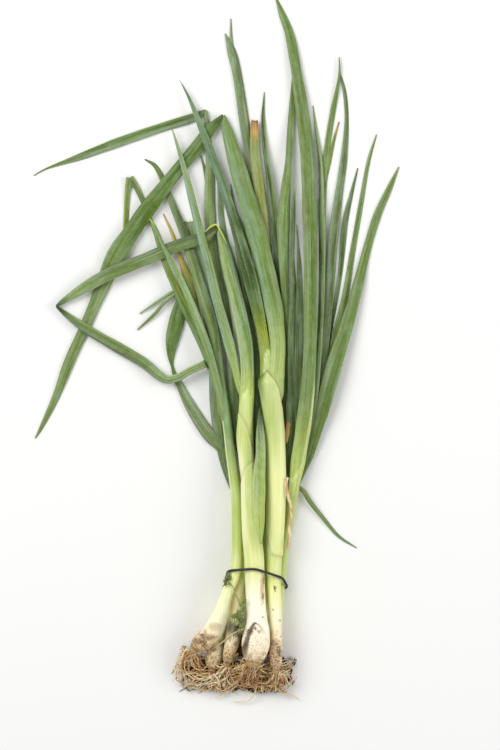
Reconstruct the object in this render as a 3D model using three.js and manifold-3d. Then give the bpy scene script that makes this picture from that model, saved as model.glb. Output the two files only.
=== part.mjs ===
// A bunch of seven spring onions, held by a rubber band and lying on a flat surface.
//
// Millimetres. +Z is up and z = 0 is the surface. The roots are at -Y and the leaf tips at +Y.
// Each shank and leaf is a route in plan, and the routes are listed from the bottom of the
// pile to the top. Each one is let down in turn onto what already lies there, which gives
// its height, so nothing crosses and nothing hangs above the pile.
import * as THREE from "three";
import Module from "manifold-3d";

const wasm = await Module();
wasm.setup();

// Driving dimensions, mm.
const SHANK_SIDES = 12;
const LEAF_SIDES = 8;
const ROOT_SIDES = 3;
const SHANK_STEP = 22; // longest stretch between two rings of a shank
const LEAF_STEP = 24; // the same for a leaf
const LEAST_LEAF_THICKNESS = 1.4;
const FLAT_LEAF = 0.36; // thickness over width of a leaf far from its neck
const ROUND_LEAF = 0.8; // and at its neck
const ROUND_LENGTH = 30; // distance over which a leaf flattens
const CLEARANCE = 0.6; // least gap between two pieces that lie on each other
const SEAM = 0.35; // gap between a shank and its leaves, and between a bulb and the roots
const SETTLE = 0.4; // how far soft pieces flatten where they rest on the surface
const SHANK_SLOPE = 0.2; // steepest rise of a shank over what it crosses
const LEAF_SLOPE = 0.12;
const GROWN_TOGETHER = 90; // leaves of one plant need no gap this near their neck
const FOLD_HALF_HEIGHT = 2.5; // a fold pinches the leaf on edge
const SMOOTHING = 10; // half the stretch over which heights are evened out
const SLIVER = 0.03; // edges and steps smaller than this are dropped where pieces join

const BAND_RADIUS = 1;
const BAND_GAP = 0.65; // the band stands off the round of the shanks, whose corners stand out
const BAND_SIDES = 6;
const BAND_STEPS = 44;
const BAND_MIDDLE = { x: 30, y: -187, z: 13 };
const BAND_LEAN = 0.47; // the band's top leans towards the tips by this much of its height
const BAND_SKEW = -0.1; // and its +X side lies nearer the roots
const BAND_BED = { x: [-2, 64], width: 7 }; // strip of the surface that the band lies on

const ROOT_RADIUS = 0.65;
const ROOTS_PER_MM = 0.75; // roots on each millimetre of a bulb's base
const ROOT_STEP = 7.5;
const ROOT_LENGTHS = [18, 40];
const ROOT_FAN = 1.25; // widest angle of a root off its bulb's own line, radians
const ROOT_CURL = 0.3; // how far a root turns at each step, radians
const ROOT_DROP = 3.6; // how far a root sinks at each step until it reaches its lowest
const ROOT_LIFT = 7; // the lowest of the highest root, which lies on the others
const ROOT_SEED = 11;
const ROOTS_END = -281; // short roots reach no further than this y
const ROOT_BOW = 14; // how far a root that links two plates loops out from them
const PLATE_LENGTH = 3.5; // the hard disc under a bulb that its roots grow from

// Height map of the pile: squares of 1 mm, one layer for each plant.
const SQUARE = 1;
const MAP = { x: -165, y: -305, columns: 330, rows: 610 };
const BIN = 2; // spacing of the heights worked out along a route

const FINISHES = {
  shank: { color: 0xe6ebbd, roughness: 0.45 },
  leaves: { color: 0x7f9e6c, roughness: 0.6 },
  roots: { color: 0xb99a6b, roughness: 0.9 },
  band: { color: 0x1c2233, roughness: 0.55 },
  weed: { color: 0x4f7a35, roughness: 0.7 },
  skin: { color: 0xc9a36a, roughness: 0.8 },
};

// ---- What lies in the pile, from the bottom up ----

// A shank's route runs from its base through the bulb to the neck, and its last point is the
// end of the short collar above the neck that its leaves grow from.
const shank = (plant, route) => ({ kind: "shank", plant, arms: [route] });
// A leaf's route runs from the neck to the tip. A second arm is what lies beyond a fold.
const leaf = (plant, ...arms) => ({ kind: "leaf", plant, arms });
// A torn strip starts on a leaf of the same plant.
const strip = (plant, route) => ({ kind: "strip", plant, arms: [route] });
// A scrap is a node of its own. With side shoots it lies level, and they start on its first arm.
const scrap = (name, ...arms) => ({ kind: "scrap", plant: name, arms });

const PILE = [
  shank("rear_left", [
    [-4, -260, 7], [-3, -252, 13.5], [-1.5, -243, 12.5], [1.5, -230, 9], [5.5, -214, 6.5],
    [9, -197, 6.2], [14, -181, 6.5], [18, -159, 6.5], [16, -135, 7], [14, -117, 7], [11, -104, 6],
  ]),
  shank("rear_middle", [
    [8, -254, 7], [9.5, -247, 10], [11.5, -239, 11.5], [13.5, -229, 12], [15, -217, 12],
    [16, -205, 11], [17.5, -194, 10], [21, -181, 8.5], [25, -159, 7.5], [24, -131, 8], [23, -99, 8],
    [22, -86, 7],
  ]),
  shank("rear_right", [
    [34.5, -248, 6.5], [35.5, -240, 11], [36, -230, 10.5], [38, -216, 8.5], [39.5, -199, 8],
    [39, -181, 8], [38, -155, 9.5], [37, -127, 10.5], [36, -99, 11], [36, -86, 10],
  ]),
  shank("outer_right", [
    [47, -252, 6.5], [47, -242, 11], [47, -233, 10.5], [48.5, -218, 8], [50, -199, 7.5],
    [52, -181, 7], [54.5, -159, 7], [58, -139, 7], [60, -123, 9], [61, -115, 10], [63, -102, 11],
  ]),
  // leaves that lie behind: the left side
  leaf("rear_left", [
    [14, -117, 6.5], [10, -99, 7], [6, -86, 6.5], [1, -80, 8], [-5, -73, 10.5], [-11, -65, 10.5],
    [-22, -47, 9], [-30, -31, 6.5], [-34, -23, 4], [-36, -16, 2.5], [-37, -9, 5.5], [-36, 5, 11],
    [-34, 14, 12.5], [-31, 26, 12], [-27.5, 38, 9.5], [-24, 50, 4],
  ]),
  leaf("rear_left", [
    [14, -117, 5.5], [7, -99, 6], [2, -75, 8], [-2, -47, 8], [-3, -15, 8], [-6, 17, 9],
    [-10, 41, 10.5], [-13, 57, 11], [-18, 81, 10.5], [-22, 100, 9],
  ]),
  leaf("rear_middle",
    [
      [23, -99, 8], [15, -63, 9.5], [12.5, -35, 10], [9.5, 5, 8.5], [5.5, 37, 7.5], [1, 57, 7],
      [-4, 81, 9], [-6, 117, 9], [-6, 149, 7], [-8, 174, 5], [-9, 189, 2.5],
    ],
    [
      [-9, 189, 2.5], [-18, 184, 7], [-46, 175, 7.5], [-78, 164, 8], [-110, 152, 5.5],
      [-138, 142, 1.5], [-147, 137, 1],
    ],
  ),
  strip("rear_middle", [[-5.5, 103, 1], [-7, 116, 3], [-9, 137, 3], [-13, 153, 1]]),
  leaf("rear_left", [
    [14, -117, 5], [10, -87, 4], [3, -51, 4], [-6, -3, 3], [-16, 28, 4], [-20, 40, 7],
    [-22.8, 51, 9], [-26, 61, 6], [-31, 75, 3.2], [-36, 90, 2.8], [-43, 106, 1],
  ]),
  strip("rear_left", [[-22, 47, 3], [-34, 44, 3], [-46, 37, 2.5], [-62, 26, 1]]),
  strip("rear_left", [[-31, 44, 3], [-43, 34, 3], [-50, 26, 3], [-64, 13, 1]]),
  // leaves that lie behind: the middle
  leaf("rear_right", [
    [36, -99, 8], [44, -60, 9], [47, -25, 9], [46, 13, 9], [41, 69, 9], [33, 117, 8], [25, 157, 8],
    [20.5, 189, 8.2], [15.5, 221, 7.8], [11.5, 237, 7], [6.5, 251, 1],
  ]),
  strip("rear_right", [[14.5, 217, 1], [13.5, 228, 4], [11.5, 245, 3], [11, 263, 1]]),
  leaf("rear_middle", [
    [23, -99, 5.5], [22, -43, 7], [20, 13, 8], [16.5, 40, 8.5], [12.5, 63, 7.5], [6.5, 86, 5.5],
    [3, 106, 5], [2, 129, 4], [-1, 146, 1],
  ]),
  leaf("rear_middle", [
    [23, -99, 5.5], [28, -43, 5.5], [28, 13, 5.5], [26, 53, 5.5], [22, 89, 5], [14, 110, 3],
    [11, 130, 1],
  ]),
  leaf("rear_middle", [
    [23, -99, 7], [31, -43, 9], [37, 5, 9.5], [39, 53, 9.5], [38, 89, 9.5], [34, 125, 9.5],
    [30, 157, 8], [30, 173, 7], [30, 181, 5.5],
  ]),
  leaf("rear_right", [
    [36, -99, 7], [47, -66, 8], [52, -30, 8], [52, 5, 7], [50, 53, 6.5], [46, 101, 6.5],
    [42, 133, 5.5],
    [38, 165, 4.5], [37, 185, 3], [38, 204, 1],
  ]),
  leaf("rear_right", [
    [36, -99, 7], [49, -78, 8], [56, -45, 8.5], [57, -3, 6.5], [54, 53, 7], [53, 97, 10.5],
    [55, 125, 8.6], [57.4, 149, 6], [58.6, 168, 5.6], [60, 189, 5.4], [61, 219, 1.5],
  ]),
  leaf("rear_right", [
    [36, -99, 8], [34.5, -83, 9], [34, -63, 9], [33, -39, 8.5], [30, -7, 6.5], [25, 21, 5.5],
    [19, 61, 4], [15, 81, 2.5],
  ]),
  // leaves that lie behind: the right side
  leaf("outer_right", [
    [61, -115, 4], [70, -83, 4], [82, -35, 3], [91, 13, 3], [98, 53, 4], [103, 101, 5],
    [108, 123, 3], [113, 143, 1],
  ]),
  leaf("outer_right", [
    [61, -115, 6.5], [70, -87, 6.5], [82, -39, 6.5], [92, -3, 6.5], [102, 37, 5.5], [109, 77, 4.5],
    [116, 117, 4], [122, 150, 3], [128, 170, 1],
  ]),
  leaf("outer_right", [
    [61, -115, 6.5], [69, -87, 6.5], [78, -51, 6.5], [85, -11, 6.5], [89, 29, 7], [92, 77, 9],
    [97, 117, 7], [102, 153, 5.5], [104, 185, 3.5], [102, 206, 3], [98, 221, 1],
  ]),
  leaf("outer_right", [
    [61, -115, 7], [59, -85, 9], [59, -58, 9], [60, -31, 8.5], [60, 5, 7.5], [61, 45, 5.5],
    [60, 77, 4],
    [61, 107, 4.5], [62, 127, 1],
  ]),
  leaf("outer_right", [
    [61, -115, 6.5], [65, -67, 5.5], [65, -27, 6.5], [66, 21, 6.5], [66, 57, 5], [65, 81, 2],
    [64, 97, 1],
  ]),
  strip("outer_right", [[55.4, -78, 1.6], [56.6, -67, 4.6], [58.4, -59, 3.4], [60.2, -54, 1]]),
  leaf("outer_right", [
    [61, -115, 5], [69, -79, 5], [77, -43, 4], [82, 1, 4], [84, 61, 4], [85, 109, 5], [87, 149, 5],
    [93, 189, 4.5], [98, 217, 2], [98, 232, 1],
  ]),
  strip("outer_right", [[84, 107, 3], [87, 133, 3], [91, 153, 3.5], [95, 170, 2], [98, 180, 1]]),
  leaf("outer_right", [
    [61, -115, 6.5], [70, -79, 6.5], [78, -43, 5], [82, 1, 4.5], [84, 53, 5.5], [84, 105, 5],
    [83, 145, 4], [80, 171, 2.5], [77, 193, 1],
  ]),
  leaf("outer_right", [
    [61, -115, 10], [65.5, -87, 13], [70, -56, 12.6], [74, -11, 11.4], [75, 37, 12], [74, 109, 13],
    [72, 157, 12.5], [67, 197, 11], [62, 230, 9], [58, 251, 8.5], [52, 267, 6], [46, 283, 1],
  ]),
  leaf("outer_right", [
    [61, -115, 6.5], [67.5, -101, 7.4], [72.6, -90, 8.2], [78.4, -71, 10], [84.4, -50, 12],
    [89.5, -31, 13], [95, -11, 12.8], [102, 10, 11.4], [112, 45, 9.5], [120, 77, 7],
    [129, 106, 6.5], [138, 126, 5], [146, 144, 1],
  ]),
  leaf("outer_right", [
    [63, -112, 4], [69, -116, 4], [74, -124, 4], [85, -138, 3.2], [98, -153, 2.5], [112, -162, 1],
  ]),
  // the three front plants
  shank("left", [
    [-18.5, -242.5, 8], [-17, -241, 11.5], [-13.5, -238, 14.5], [-9, -234, 15.6], [-4, -229, 15.6],
    [0, -222, 14.8], [3.2, -214, 12.6], [6, -204, 10], [9.5, -194, 8.8], [14, -183, 9],
    [16, -167, 9], [16.4, -139, 9.2], [15.8, -123, 9], [12.8, -99, 8.4], [10.4, -82, 8],
    [8.3, -64, 7.6], [5.8, -46, 7.8], [3.6, -33, 7.6],
  ]),
  leaf("left",
    [
      [4.8, -46, 5.5], [-2.5, -25, 5.8], [-11, -3, 5.6], [-22, 22, 6.5], [-31, 42, 6.5],
      [-42, 67, 5], [-50, 92, 3.5], [-57, 110, 4], [-65, 128, 5], [-70, 135, 6],
    ],
    [[-70, 135, 6], [-71.8, 125, 4.8], [-72.8, 110, 4.4], [-73.6, 97, 4], [-74.5, 88, 2.5]],
  ),
  leaf("left", [
    [5.8, -46, 7.6], [3, -28, 8], [0, -3, 9], [-4.4, 20, 9.6], [-10, 37, 11], [-18, 63, 9],
    [-26, 89, 7.5], [-36, 114, 6], [-43, 132, 5], [-50, 145, 3.5], [-58, 150, 1],
  ]),
  shank("right", [
    [47, -259, 6.5], [47, -251, 11], [47, -243, 11], [47.6, -232, 9.8], [46.8, -219, 10.4],
    [46.2, -203, 11.4], [45.6, -190, 12], [45.5, -179, 12.8], [46, -155, 15], [47, -123, 16],
    [47.2, -99, 16], [46.6, -73, 15.8], [45.2, -54, 17.2], [44, -37, 20], [43.2, -28, 21.5],
    [43.4, -16, 20],
  ]),
  leaf("right",
    [
      [46, -30, 15.5], [48.6, -3, 13], [47.6, 14, 13.4], [45, 33, 15], [38.6, 61, 16.4],
      [33.8, 82, 16.6], [27.4, 106, 16], [19, 134, 14.5], [12.6, 157, 12.4], [8.2, 173, 9],
      [5, 185, 3],
    ],
    [
      [5, 185, 3], [-4.5, 175, 9], [-15, 161, 11.6], [-34, 138, 11], [-52, 115, 13],
      [-67, 94, 14.5], [-81, 72, 16], [-95, 41, 11], [-107, 13, 9.5], [-118, -11, 9],
      [-130, -42, 6], [-142, -67, 3], [-146, -74, 1],
    ],
  ),
  shank("middle", [
    [29, -253, 13], [30, -246, 19], [31, -237, 22.5], [32, -227, 20], [32, -218, 16.5],
    [31, -203, 15.5], [30, -181, 16], [29.5, -167, 16], [28.2, -155, 15.6], [26.6, -139, 14],
    [25.4, -123, 12.6], [25, -107, 12.6], [23.6, -90, 13.8], [22.5, -72, 15], [23, -58, 14],
    [23.6, -42, 13.4], [24.2, -29, 12.6],
  ]),
  // an outer leaf of the middle plant, in the valley between it and the right one
  scrap("side_leaf", [
    [37.4, -156, 2.5], [36.2, -140, 5.6], [35.4, -123, 7.8], [35.1, -107, 8.4], [34.9, -90, 8.6],
    [34.8, -73, 7.4], [34.4, -60, 4.6], [34, -50, 1.5],
  ]),
  leaf("middle",
    [
      [23.6, -42, 13], [24.4, -23, 12], [22.8, 1, 12], [15.6, 37, 12.4], [8.8, 65, 10.6],
      [5, 82, 8.6], [1, 95.5, 3.5],
    ],
    [
      [1, 95.5, 3.5], [-10, 87, 9], [-30, 81, 10], [-54, 71, 10.5], [-86, 58, 10.5], [-106, 47, 9],
      [-122, 37, 5], [-129, 32, 2],
    ],
    [
      [-129, 32, 2], [-118, 23, 5.5], [-102, 12, 8], [-78, -2, 9], [-58, -14, 9], [-46, -24, 8],
      [-40, -27, 6.5], [-31, -25, 6.5], [-22, -20, 6.5], [-9, -14, 6.5],
    ],
  ),
  // leaves that lie over all the rest
  leaf("left", [
    [4, -46, 5.8], [-3.5, -15, 6.6], [-10, 6, 6.5], [-21, 34, 6.5], [-31, 57, 5], [-42, 78, 3.5],
    [-50, 96, 2.5], [-54, 102, 1],
  ]),
  leaf("middle", [
    [21.6, -42, 6], [17.4, -30, 6], [14.4, -17, 6.6], [10, 1, 9], [0, 37, 8], [-7, 67, 7],
    [-12, 85, 7], [-18, 109, 6.5], [-25, 137, 5], [-30, 155, 3.5], [-36, 174, 1],
  ]),
  leaf("right", [
    [39.4, -30, 11.5], [38, -2, 9.8], [34.2, 21, 10.6], [30.4, 38, 12], [25, 60, 12.4],
    [16.4, 90, 9.6], [6, 125, 8.6], [-5.6, 157, 7.4], [-15.4, 182, 5.6], [-23, 200, 3.2],
    [-30, 213.5, 1],
  ]),
  // a green weed caught below the band, and a dry strip of skin
  scrap("weed_sprig",
    [[15.6, -198, 1.5], [18.6, -206, 1.5], [18.5, -215, 1.5], [18, -225, 1.5]],
    [[18.8, -205, 1.5], [20.5, -203.5, 3.5], [22.5, -202.5, 1]],
    [[18.6, -208, 2], [20.8, -209.5, 4.5], [22, -212, 1.5]],
    [[18.6, -212, 1.5], [15.5, -213.5, 4.5], [12, -215.5, 1]],
    [[18.4, -216, 2], [20.6, -218, 5], [21.8, -221, 1.5]],
    [[18.3, -219, 1.5], [15.5, -220.5, 4], [13.5, -222, 1]],
    [[18, -225, 1.5], [18.5, -227.5, 3.5], [17, -230, 1]],
  ),
  scrap("dry_skin", [
    [56, -105, 2], [57, -122, 2.5], [59, -136, 2.5], [58.5, -149, 2.5], [55, -161, 2],
  ]),
];
const SCRAPS = PILE.filter((piece) => piece.kind === "scrap").map((piece) => piece.plant);
const PLANTS = PILE.filter((piece) => piece.kind === "shank").map((piece) => piece.plant);

// ---- Rings along a route ----

// Rings on a smooth curve through the route's points, at most step apart.
// a is half a ring's width, s its distance along the piece, and knot the point it stands on.
function ringsAlong(route, step, from = 0) {
  const points = route.map(([x, y, width]) => new THREE.Vector3(x, y, width));
  const curve = new THREE.CatmullRomCurve3(points);
  const rings = [];
  for (let i = 0; i + 1 < route.length; i++) {
    const length = Math.hypot(route[i + 1][0] - route[i][0], route[i + 1][1] - route[i][1]);
    const parts = Math.ceil(length / step);
    for (let k = 0; k < parts; k++) {
      const p = curve.getPoint((i + k / parts) / (route.length - 1));
      rings.push({ x: p.x, y: p.y, a: p.z / 2, knot: k === 0 ? i : undefined });
    }
  }
  const [x, y, width] = route.at(-1);
  rings.push({ x, y, a: width / 2, knot: route.length - 1 });
  rings[0].s = from;
  for (let i = 1; i < rings.length; i++) {
    const before = rings[i - 1];
    rings[i].s = before.s + Math.hypot(rings[i].x - before.x, rings[i].y - before.y);
  }
  return rings;
}

// A shank is round, and a little flatter where it is wide.
const shankHalfHeight = (a) => Math.min(a, 3 + a / 2);

// A leaf is a round tube at its neck and flattens within a few centimetres.
function leafHalfHeight(a, fromNeck) {
  const share = FLAT_LEAF + (ROUND_LEAF - FLAT_LEAF) * Math.exp(-fromNeck / ROUND_LENGTH);
  return Math.max(LEAST_LEAF_THICKNESS / 2, a * share);
}

// ---- The pile ----

const layers = new Map(
  [...PLANTS, ...SCRAPS, "band"].map((name) => [
    name,
    new Float32Array(MAP.columns * MAP.rows).fill(-SETTLE),
  ]),
);

// The band passes under the shanks, so they lie on its thickness there.
const bandY = (x, z) =>
  BAND_MIDDLE.y + BAND_LEAN * (z - BAND_MIDDLE.z) + BAND_SKEW * (x - BAND_MIDDLE.x);
for (let x = BAND_BED.x[0]; x < BAND_BED.x[1]; x++) {
  const y = bandY(x, BAND_RADIUS) - BAND_BED.width / 2;
  const column = Math.floor(x - MAP.x);
  for (let row = Math.floor(y - MAP.y); row < y - MAP.y + BAND_BED.width; row++) {
    layers.get("band")[row * MAP.columns + column] = 2 * BAND_RADIUS + BAND_GAP / 2;
  }
}

// Half the height of an elliptical ring's polygon, at a share f of its half width.
function halfHeightAt(b, f, sides) {
  const corner = 1 / Math.cos(Math.PI / sides);
  return b * Math.min(1, Math.sqrt(Math.max(0, corner * corner - f * f)));
}

// Calls visit(square, s, half height there) for each map square under the rings.
function underRings(rings, sides, reach, visit) {
  for (let i = 0; i + 1 < rings.length; i++) {
    const [p, q] = [rings[i], rings[i + 1]];
    const length = q.s - p.s;
    const ux = (q.x - p.x) / length;
    const uy = (q.y - p.y) / length;
    const margin = Math.max(p.a, q.a) + reach;
    const firstColumn = Math.floor((Math.min(p.x, q.x) - margin - MAP.x) / SQUARE);
    const lastColumn = Math.ceil((Math.max(p.x, q.x) + margin - MAP.x) / SQUARE);
    const firstRow = Math.floor((Math.min(p.y, q.y) - margin - MAP.y) / SQUARE);
    const lastRow = Math.ceil((Math.max(p.y, q.y) + margin - MAP.y) / SQUARE);
    for (let row = firstRow; row <= lastRow; row++) {
      for (let column = firstColumn; column <= lastColumn; column++) {
        const dx = MAP.x + (column + 0.5) * SQUARE - p.x;
        const dy = MAP.y + (row + 0.5) * SQUARE - p.y;
        const t = Math.min(1, Math.max(0, (dx * ux + dy * uy) / length));
        const off = Math.hypot(dx - ux * t * length, dy - uy * t * length);
        const a = p.a + (q.a - p.a) * t + reach;
        if (off > a) continue;
        const b = p.b + (q.b - p.b) * t;
        visit(row * MAP.columns + column, p.s + t * length, halfHeightAt(b, off / a, sides));
      }
    }
  }
}

// Value at distance s in a list of values BIN apart.
function valueAt(values, s) {
  const i = Math.min(values.length - 2, Math.floor(s / BIN));
  const t = Math.min(1, s / BIN - i);
  return values[i] * (1 - t) + values[i + 1] * t;
}

// Evens a list out without taking any value below what it was: the highest of each
// stretch, and then the average.
function evened(values) {
  const reach = Math.round(SMOOTHING / BIN);
  const around = (list, i) => {
    const found = [];
    for (let k = i - reach; k <= i + reach; k++) {
      found.push(list[Math.min(list.length - 1, Math.max(0, k))]);
    }
    return found;
  };
  const highest = values.map((_, i) => Math.max(...around(values, i)));
  return highest.map((_, i) => around(highest, i).reduce((sum, v) => sum + v, 0) / (2 * reach + 1));
}

// Lets the arms of one piece down onto the pile, end to end. They start at height start, if
// given, stay clear of every other plant, and of their own plant from distance free on.
function lie(arms, { owner, sides, slope, free = Infinity, start = -Infinity }) {
  const count = Math.max(2, Math.ceil(arms.at(-1).at(-1).s / BIN) + 1);
  const need = new Array(count).fill(-Infinity);
  const raise = (bin, z) => (need[bin] = Math.max(need[bin], z));
  const binAt = (s) => Math.min(count - 1, Math.round(s / BIN));
  for (const rings of arms) {
    for (const ring of rings) raise(binAt(ring.s), ring.b - SETTLE);
    underRings(rings, sides, SQUARE, (square, s, half) => {
      for (const [name, layer] of layers) {
        if (name === owner && s < free) continue;
        if (layer[square] > -SETTLE) raise(binAt(s), layer[square] + CLEARANCE + half);
      }
    });
  }
  raise(0, start);
  for (let i = 1; i < count; i++) raise(i, need[i - 1] - slope * BIN);
  for (let i = count - 2; i >= 0; i--) raise(i, need[i + 1] - slope * BIN);
  const heights = evened(need);
  for (const ring of arms.flat()) ring.z = valueAt(heights, ring.s);
  const layer = layers.get(owner);
  for (const rings of arms) {
    underRings(rings, sides, SQUARE / 2, (square, s, half) => {
      layer[square] = Math.max(layer[square], valueAt(heights, s) + half);
    });
  }
}

// ---- Solids ----

// Closed body of rings of corners [x, y, z]; a loop's last ring joins its first.
function bodyOf(ringsOfCorners, loop = false) {
  const sides = ringsOfCorners[0].length;
  const count = ringsOfCorners.length;
  const faces = [];
  const corner = (i, k) => (i % count) * sides + (k % sides);
  for (let i = 0; i < count - (loop ? 0 : 1); i++) {
    for (let k = 0; k < sides; k++) {
      const [p, q] = [corner(i, k), corner(i, k + 1)];
      const [r, s] = [corner(i + 1, k), corner(i + 1, k + 1)];
      faces.push(p, s, q, p, r, s);
    }
  }
  for (let k = 1; k + 1 < sides && !loop; k++) {
    const last = (count - 1) * sides;
    faces.push(0, k, k + 1, last, last + k + 1, last + k);
  }
  return new THREE.BufferGeometry()
    .setAttribute("position", new THREE.Float32BufferAttribute(ringsOfCorners.flat(2), 3))
    .setIndex(faces);
}

// Corners of each ring: a polygon round an ellipse that stands across the route, flat side
// down. Nothing goes below the surface.
function cornersOf(rings, sides, grow = 0, reach = 1 / Math.cos(Math.PI / sides)) {
  return rings.map((ring, i) => {
    const before = rings[Math.max(0, i - 1)];
    const after = rings[Math.min(rings.length - 1, i + 1)];
    const across = new THREE.Vector2(after.y - before.y, before.x - after.x).normalize();
    return Array.from({ length: sides }, (_, k) => {
      const angle = (2 * Math.PI * (k + 0.5)) / sides;
      const out = (ring.a + grow) * reach * Math.cos(angle);
      const up = (ring.b + grow) * reach * Math.sin(angle);
      return [ring.x + across.x * out, ring.y + across.y * out, Math.max(-grow, ring.z + up)];
    });
  });
}

function solidOf(geometry) {
  return new wasm.Manifold(
    new wasm.Mesh({
      numProp: 3,
      vertProperties: geometry.getAttribute("position").array,
      triVerts: new Uint32Array(geometry.index.array),
    }),
  );
}

const joined = (solids) => solids.reduce((whole, solid) => whole.add(solid));

const tube = (rings, sides, grow) => solidOf(bodyOf(cornersOf(rings, sides, grow)));

function meshOf(name, solid, finish) {
  const made = solid.simplify(SLIVER).getMesh();
  const geometry = new THREE.BufferGeometry()
    .setAttribute("position", new THREE.BufferAttribute(made.vertProperties, 3))
    .setIndex(new THREE.BufferAttribute(made.triVerts, 1));
  const material = new THREE.MeshStandardMaterial({ ...FINISHES[finish], metalness: 0 });
  const mesh = new THREE.Mesh(geometry, material);
  mesh.name = name;
  return mesh;
}

// ---- Laying the bunch ----

const shanks = {};
const collars = {};
const blades = Object.fromEntries([...PLANTS, ...SCRAPS].map((name) => [name, []]));

function layShank(plant, [route]) {
  const rings = ringsAlong(route, SHANK_STEP);
  for (const ring of rings) ring.b = shankHalfHeight(ring.a);
  lie([rings], { owner: plant, sides: SHANK_SIDES, slope: SHANK_SLOPE });
  const neck = rings.findIndex((ring) => ring.knot === route.length - 2);
  shanks[plant] = rings.slice(0, neck + 1);
  collars[plant] = rings.slice(neck);
}

// Top of a plant's own layer at a ring's middle.
function topUnder(plant, ring) {
  const column = Math.floor((ring.x - MAP.x) / SQUARE);
  const row = Math.floor((ring.y - MAP.y) / SQUARE);
  return layers.get(plant)[row * MAP.columns + column];
}

function armsOf(routes, fromNeck) {
  const arms = [];
  for (const route of routes) {
    const rings = ringsAlong(route, LEAF_STEP, arms.at(-1)?.at(-1).s ?? 0);
    for (const ring of rings) ring.b = leafHalfHeight(ring.a, fromNeck + ring.s);
    arms.push(rings);
  }
  return arms;
}

function layLeaf(plant, routes) {
  const arms = armsOf(routes, 0);
  for (let i = 1; i < arms.length; i++) {
    arms[i - 1].at(-1).b = FOLD_HALF_HEIGHT;
    arms[i][0].b = FOLD_HALF_HEIGHT;
  }
  const start = collars[plant][0].z;
  lie(arms, { owner: plant, sides: LEAF_SIDES, slope: LEAF_SLOPE, free: GROWN_TOGETHER, start });
  blades[plant].push(...arms);
}

function layStrip(plant, routes) {
  const arms = armsOf(routes, Infinity);
  const start = topUnder(plant, arms[0][0]) - arms[0][0].b;
  lie(arms, { owner: plant, sides: LEAF_SIDES, slope: LEAF_SLOPE, start });
  blades[plant].push(...arms);
}

function layScrap(name, routes) {
  const arms = armsOf(routes, Infinity);
  lie(arms, { owner: name, sides: LEAF_SIDES, slope: routes.length > 1 ? 0 : LEAF_SLOPE });
  blades[name].push(...arms);
}

const LAY = { shank: layShank, leaf: layLeaf, strip: layStrip, scrap: layScrap };
for (const { kind, plant, arms } of PILE) LAY[kind](plant, arms);

const shankMesh = (plant) => meshOf(`${plant}_shank`, tube(shanks[plant], SHANK_SIDES), "shank");

// The rings, and one more a little past the last and in line with it.
function lengthened(rings, extra) {
  const [p, q] = rings.slice(-2);
  const share = extra / Math.hypot(q.x - p.x, q.y - p.y);
  return [...rings, { ...q, x: q.x + (q.x - p.x) * share, y: q.y + (q.y - p.y) * share }];
}

function leavesMesh(plant) {
  const solids = blades[plant].map((rings) => tube(rings, LEAF_SIDES));
  const room = tube(lengthened(shanks[plant], SEAM), SHANK_SIDES, SEAM);
  const whole = joined([tube(collars[plant], SHANK_SIDES), ...solids]).subtract(room);
  return meshOf(`${plant}_leaves`, whole, "leaves");
}

const scrapMesh = (name, finish) =>
  meshOf(name, joined(blades[name].map((rings) => tube(rings, LEAF_SIDES))), finish);

// ---- The rubber band ----

// The ring of a shank at a given y, read between its two nearest rings.
function ringAtY(plant, y) {
  const rings = shanks[plant];
  const i = Math.max(0, rings.findIndex((ring) => ring.y > y) - 1);
  const [p, q] = [rings[i], rings[i + 1]];
  const t = (y - p.y) / (q.y - p.y);
  return Object.fromEntries(["x", "z", "a", "b"].map((key) => [key, p[key] + (q[key] - p[key]) * t]));
}

// The point of the bunch that stands out furthest in a direction, in the slice at y.
function outermost(y, nx, nz) {
  const points = PLANTS.map((plant) => {
    const { x, z, a, b } = ringAtY(plant, y);
    const size = Math.hypot(a * nx, b * nz);
    return { x: x + (a * a * nx) / size, z: z + (b * b * nz) / size };
  });
  const out = ({ x, z }) => x * nx + z * nz;
  return points.reduce((best, point) => (out(point) > out(best) ? point : best));
}

function bandMesh() {
  const axis = new THREE.Vector3(-BAND_SKEW, 1, -BAND_LEAN).normalize();
  const rings = [];
  for (let i = 0; i < BAND_STEPS; i++) {
    const angle = (2 * Math.PI * i) / BAND_STEPS;
    const outward = new THREE.Vector3(Math.cos(angle), 0, Math.sin(angle));
    let centre = new THREE.Vector3(BAND_MIDDLE.x, BAND_MIDDLE.y, BAND_MIDDLE.z);
    for (let pass = 0; pass < 4; pass++) {
      const touched = outermost(centre.y, outward.x, outward.z);
      centre = new THREE.Vector3(touched.x, 0, touched.z).addScaledVector(outward, BAND_RADIUS + BAND_GAP);
      centre.y = bandY(centre.x, centre.z);
    }
    const radial = outward.clone().addScaledVector(axis, -outward.dot(axis)).normalize();
    const corners = Array.from({ length: BAND_SIDES }, (_, k) => {
      const turn = (-2 * Math.PI * k) / BAND_SIDES;
      const corner = centre.clone().addScaledVector(radial, BAND_RADIUS * Math.cos(turn));
      return corner.addScaledVector(axis, BAND_RADIUS * Math.sin(turn)).toArray();
    });
    rings.push(corners);
  }
  return meshOf("rubber_band", solidOf(bodyOf(rings, true)), "band");
}

// ---- The roots ----

// Seeded draws from 0 to 1, the same on every run.
function drawsFrom(seed) {
  let state = seed;
  return () => {
    state = (state + 0x6d2b79f5) | 0;
    let t = Math.imul(state ^ (state >>> 15), 1 | state);
    t = (t + Math.imul(t ^ (t >>> 7), 61 | t)) ^ t;
    return ((t ^ (t >>> 14)) >>> 0) / 4294967296;
  };
}

// Where a plant's roots start: the middle of its base, and its own line in plan.
function baseOf(plant) {
  const [first, second] = shanks[plant];
  const heading = Math.atan2(first.y - second.y, first.x - second.x);
  return { ...first, plant, heading, dx: Math.cos(heading), dy: Math.sin(heading) };
}

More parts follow.
